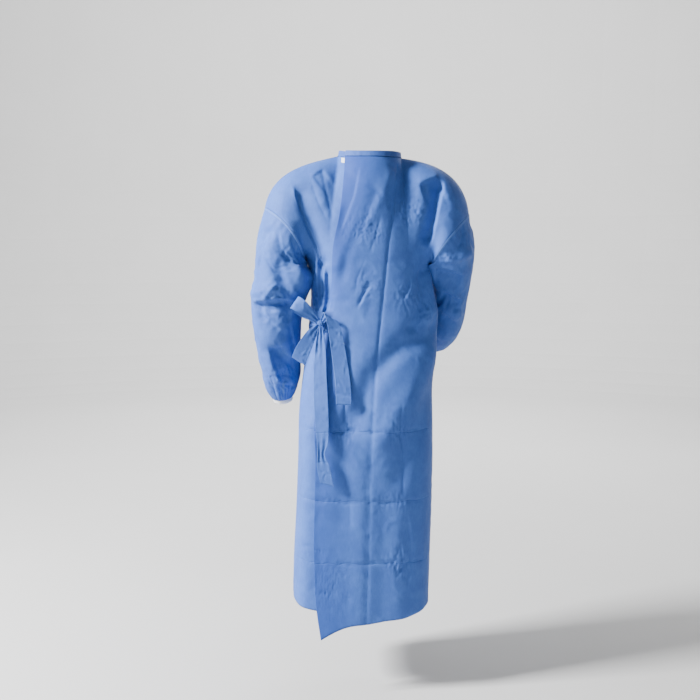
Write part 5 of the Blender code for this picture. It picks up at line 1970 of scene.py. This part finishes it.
@dataclass
class Gown:
    """The whole gown, built piece by piece."""

    finishes: Finishes
    panels: BodyPanels = field(default_factory=BodyPanels)
    knot: Knot = field(default_factory=Knot)
    stitches: Stitches = field(default_factory=Stitches)
    strip_mm: float = 0.3
    tie_mm: float = 0.8
    binding_mm: float = 0.4
    patch_columns: int = 18
    patch_out_mm: float = 1.2
    band_rows: tuple[int, int] = (1, 5)
    end_row: int = -3

    def blue(self) -> tuple[bpy.types.Material, bpy.types.Material]:
        """Pairs the nonwoven with its cut edge."""
        return self.finishes.nonwoven, self.finishes.cut_edge

    def strip(self, name: str, cloth: Cloth, under: str) -> None:
        """Lays a narrow strip over a seam of the piece under it."""
        tape = (self.finishes.tape,)
        Piece(name, cloth, tape, "sms_nonwoven", (), "laid", self.strip_mm, 0.0, (under,)).place()

    def build(self) -> None:
        """Builds every piece in order."""
        front, wrap, under = self.panels.front(), self.panels.wrap(), self.panels.under()
        Piece("front_panel", front, self.blue(), "sms_nonwoven", ("front",), "hung").place()
        Piece("wrap_panel", wrap, self.blue(), "sms_nonwoven", ("back_right",), "hung").place()
        Piece("under_panel", under, self.blue(), "sms_nonwoven", ("back_left",), "hung").place()
        for form, cuff in ((LEFT_SLEEVE, "cuff_left"), (RIGHT_SLEEVE, "cuff_right")):
            self.sleeve(form, cuff)
        self.binding(front, wrap, under)
        self.seams(front, wrap, under)
        self.bow(wrap)
        tab = HookTab()
        tape = tab.shape(self.panels.hem_wrap.rows[-1][1])
        hook = (self.finishes.hook,)
        Piece("hook_tab_tape", tape, hook, "hook_tape", ("hook_tab",), "laid", tab.thick_mm).place()

    def sleeve(self, form: SleeveForm, cuff_name: str) -> None:
        """Builds one sleeve with its armhole seam, its underarm seam and its cuff.

        Args:
            form: The sleeve.
            cuff_name: The name of the solid that the cuff stands for.
        """
        tube = form.name + "_tube"
        cloth = form.shape()
        Piece(tube, cloth, self.blue(), "sms_nonwoven", (form.name,), "hung").place()
        cuff = Cuff(cuff_name, form)
        rib = cuff.shape()
        knit = (self.finishes.knit,)
        Piece(cuff_name + "_rib", rib, knit, "rib_knit", (cuff_name,), "hung", cuff.wall_mm).place()
        band = SeamBand("armhole_seam_" + form.side.name.lower()).round_armhole(cloth)
        self.strip("armhole_seam_" + form.side.name.lower(), band, tube)
        under_arm = form.around // 2
        across = unit(cloth.points[:, under_arm + 1] - cloth.points[:, under_arm - 1])
        ridge = SeamBand("underarm_seam_" + form.side.name.lower(), 2.4, 0.7)
        line = ridge.along(cloth.points[:, under_arm], cloth.normals()[:, under_arm], across)
        self.strip(ridge.name, line, tube)
        closed = np.concatenate([np.arange(form.around), [0]])
        rows = [(band.points[row][closed], band.normals()[row][closed]) for row in self.band_rows]
        rows.append((cloth.points[self.end_row][closed], cloth.normals()[self.end_row][closed]))
        self.stitches.place("stitches_" + form.name, rows, self.finishes.thread)

    def binding(self, front: Cloth, wrap: Cloth, under: Cloth) -> None:
        """Builds the neck binding and its row of stitches.

        Args:
            front: The front panel.
            wrap: The panel that wraps over.
            under: The panel under the wrap.
        """
        looks = self.finishes
        strip = NeckBinding()
        line, out = strip.line(front, wrap, under)
        cloth = strip.shape(line, out)
        fabric = (looks.binding, looks.cut_edge)
        slot = "binding_nonwoven"
        Piece("neck_binding_strip", cloth, fabric, slot, ("neck_binding",), "folded", 0.4).place()
        outward = cloth.normals()
        self.stitches.place("stitches_neck", [(cloth.points[3], outward[3])], looks.thread)

    def seams(self, front: Cloth, wrap: Cloth, under: Cloth) -> None:
        """Builds the side seams and the shoulder seams as narrow ridges.

        Args:
            front: The front panel.
            wrap: The panel that wraps over.
            under: The panel under the wrap.
        """
        below = self.panels.upper_rows
        side = self.panels.side_columns
        left = np.linspace(self.panels.under_neck_column, under.points.shape[1] - 1, side)
        left_behind = under.points[1, np.rint(left).astype(int)]
        lines = {
            "side_seam_left": (front.points[below:, -1], front.points[below:, -2], under.points[below:, -2]),
            "side_seam_right": (front.points[below:, 0], front.points[below:, 1], wrap.points[below:, 1]),
            "shoulder_seam_left": (front.points[0, -side:], front.points[1, -side:], left_behind),
            "shoulder_seam_right": (front.points[0, :side], front.points[1, :side], wrap.points[1, :side]),
        }
        for name, (line, ahead, behind) in lines.items():
            across = unit(unit(behind - line) - unit(ahead - line))
            out = unit(np.cross(unit(np.gradient(line, axis=0)), across))
            away = line - np.array(BODY.inside)
            out = out * np.sign(np.sum(out * away, axis=-1, keepdims=True))
            self.strip(name, SeamBand(name, 2.6, 0.6).along(line, out, across), "front_panel")

    def bow(self, wrap: Cloth) -> None:
        """Builds the ties, the bow's loops and tails, and the knot.

        Args:
            wrap: The panel whose edge carries the sewn-on tie.
        """
        looks = self.finishes
        blue = (looks.nonwoven, looks.cut_edge)
        for tie in BOW:
            cloth = tie.shape(self.knot)
            held = "folded" if tie.name.startswith("loop") else "hung"
            Piece(tie.name + "_strip", cloth, blue, "sms_nonwoven", (tie.name,), held, 0.8, 0.0).place()
        band = self.knot.shape()
        Piece("bow_knot_band", band, blue, "sms_nonwoven", ("bow_knot",), "gathered", 0.8).place()
        low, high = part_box("tie_wrap")
        z = wrap.points[:, -1, 2]
        rows = np.flatnonzero((z > low.z) & (z < high.z))
        block = wrap.points[rows[0] : rows[-1] + 1, -self.patch_columns :]
        patch = Cloth(block, 1.0)
        patch.push(np.full(block.shape[:2], self.patch_out_mm * MM))
        Piece("tie_wrap_end", patch, blue, "sms_nonwoven", ("tie_wrap",), "laid", 0.8).place()
        out = patch.normals()
        frame_rows = [(patch.points[row], out[row]) for row in (1, -2)]
        frame_rows += [(patch.points[:, column], out[:, column]) for column in (1, -3)]
        self.stitches.place("stitches_tie_wrap", frame_rows, looks.thread)


@dataclass(frozen=True)
class Lamp:
    """A square soft light: its place, where it points, its side in metres and its power in watts."""

    name: str
    place: tuple[float, float, float]
    aim: tuple[float, float, float]
    size: float
    power: float

    def build(self) -> None:
        """Sets the light in the scene."""
        light = bpy.data.lights.new(self.name, "AREA")
        light.size = self.size
        light.energy = self.power
        thing = link_object(self.name, light)
        thing.location = self.place
        way = Vector(self.aim) - Vector(self.place)
        thing.rotation_euler = way.to_track_quat("-Z", "Y").to_euler()


@dataclass
class Studio:
    """Pale floor, soft lights and the camera at the photograph's viewing angle."""

    floor_z: float = -1.50
    floor_reach: float = 5.5
    bend: float = 3.0
    bend_steps: int = 16
    wall_top: float = 6.0
    lens_mm: float = 36 * 950 / 700
    eye: tuple[float, float, float] = (0.042, 2.65, -0.28)
    pitch_degrees: float = 6.0
    world_strength: float = 0.34
    lamps: tuple[Lamp, ...] = (
        Lamp("key", (3.15, 1.00, 1.35), (0.0, 0.0, -0.6), 0.7, 640.0),
        Lamp("far_side", (-1.8, -2.8, 1.4), (0.0, 0.0, -0.6), 1.4, 50.0),
        Lamp("backdrop", (0.0, -3.4, 3.2), (0.0, -8.0, -0.6), 3.0, 560.0),
    )

    def build(self) -> None:
        """Builds the floor, the lights and the camera."""
        shape = bmesh.new()
        bmesh.ops.create_circle(shape, cap_ends=True, segments=96, radius=self.floor_reach)
        bmesh.ops.translate(shape, vec=(0, 0, self.floor_z), verts=shape.verts)
        rim = [edge for edge in shape.edges if edge.is_boundary]
        for step in range(1, self.bend_steps + 1):
            turn = math.pi / 2 * step / self.bend_steps
            reach = self.floor_reach + self.bend * math.sin(turn)
            rim = self.raise_rim(shape, rim, reach, self.floor_z + self.bend * (1 - math.cos(turn)))
        self.raise_rim(shape, rim, self.floor_reach + self.bend, self.wall_top)
        bmesh.ops.recalc_face_normals(shape, faces=shape.faces)
        mesh = new_mesh("floor", shape)
        floor = link_object("floor", mesh)
        mesh.materials.append(StudioFloor("studio_floor", "#CDCDCD", 0.9).build())
        world = bpy.data.worlds.new("studio")
        bpy.context.scene.world = world
        world.use_nodes = True
        background = world.node_tree.nodes["Background"]
        background.inputs["Color"].default_value = linear("#FFFFFF")
        background.inputs["Strength"].default_value = self.world_strength
        for lamp in self.lamps:
            lamp.build()
        lens = bpy.data.cameras.new("camera")
        lens.lens = self.lens_mm
        lens.sensor_width = 36.0
        camera = link_object("camera", lens)
        camera.location = self.eye
        camera.rotation_euler = (math.radians(90 - self.pitch_degrees), 0.0, math.radians(180))
        bpy.context.scene.camera = camera

    @staticmethod
    def raise_rim(
        shape: bmesh.types.BMesh, rim: list[bmesh.types.BMEdge], reach: float, z: float
    ) -> list[bmesh.types.BMEdge]:
        """Adds one ring of faces to the floor's rim.

        Args:
            shape: The floor as built so far.
            rim: The edges of its rim.
            reach: The new rim's radius in metres.
            z: The new rim's height in metres.

        Returns:
            The new rim's edges.
        """
        grown = bmesh.ops.extrude_edge_only(shape, edges=rim)["geom"]
        for point in (item for item in grown if isinstance(item, bmesh.types.BMVert)):
            flat = point.co.xy.normalized() * reach
            point.co = (flat.x, flat.y, z)
        return [item for item in grown if isinstance(item, bmesh.types.BMEdge) and item.is_boundary]


def main() -> None:
    """Builds the studio and the gown, and reports each piece."""
    logging.basicConfig(level=logging.INFO, format="%(name)s: %(message)s")
    Studio().build()
    Gown(Finishes.make()).build()


if __name__ == "__main__":
    main()
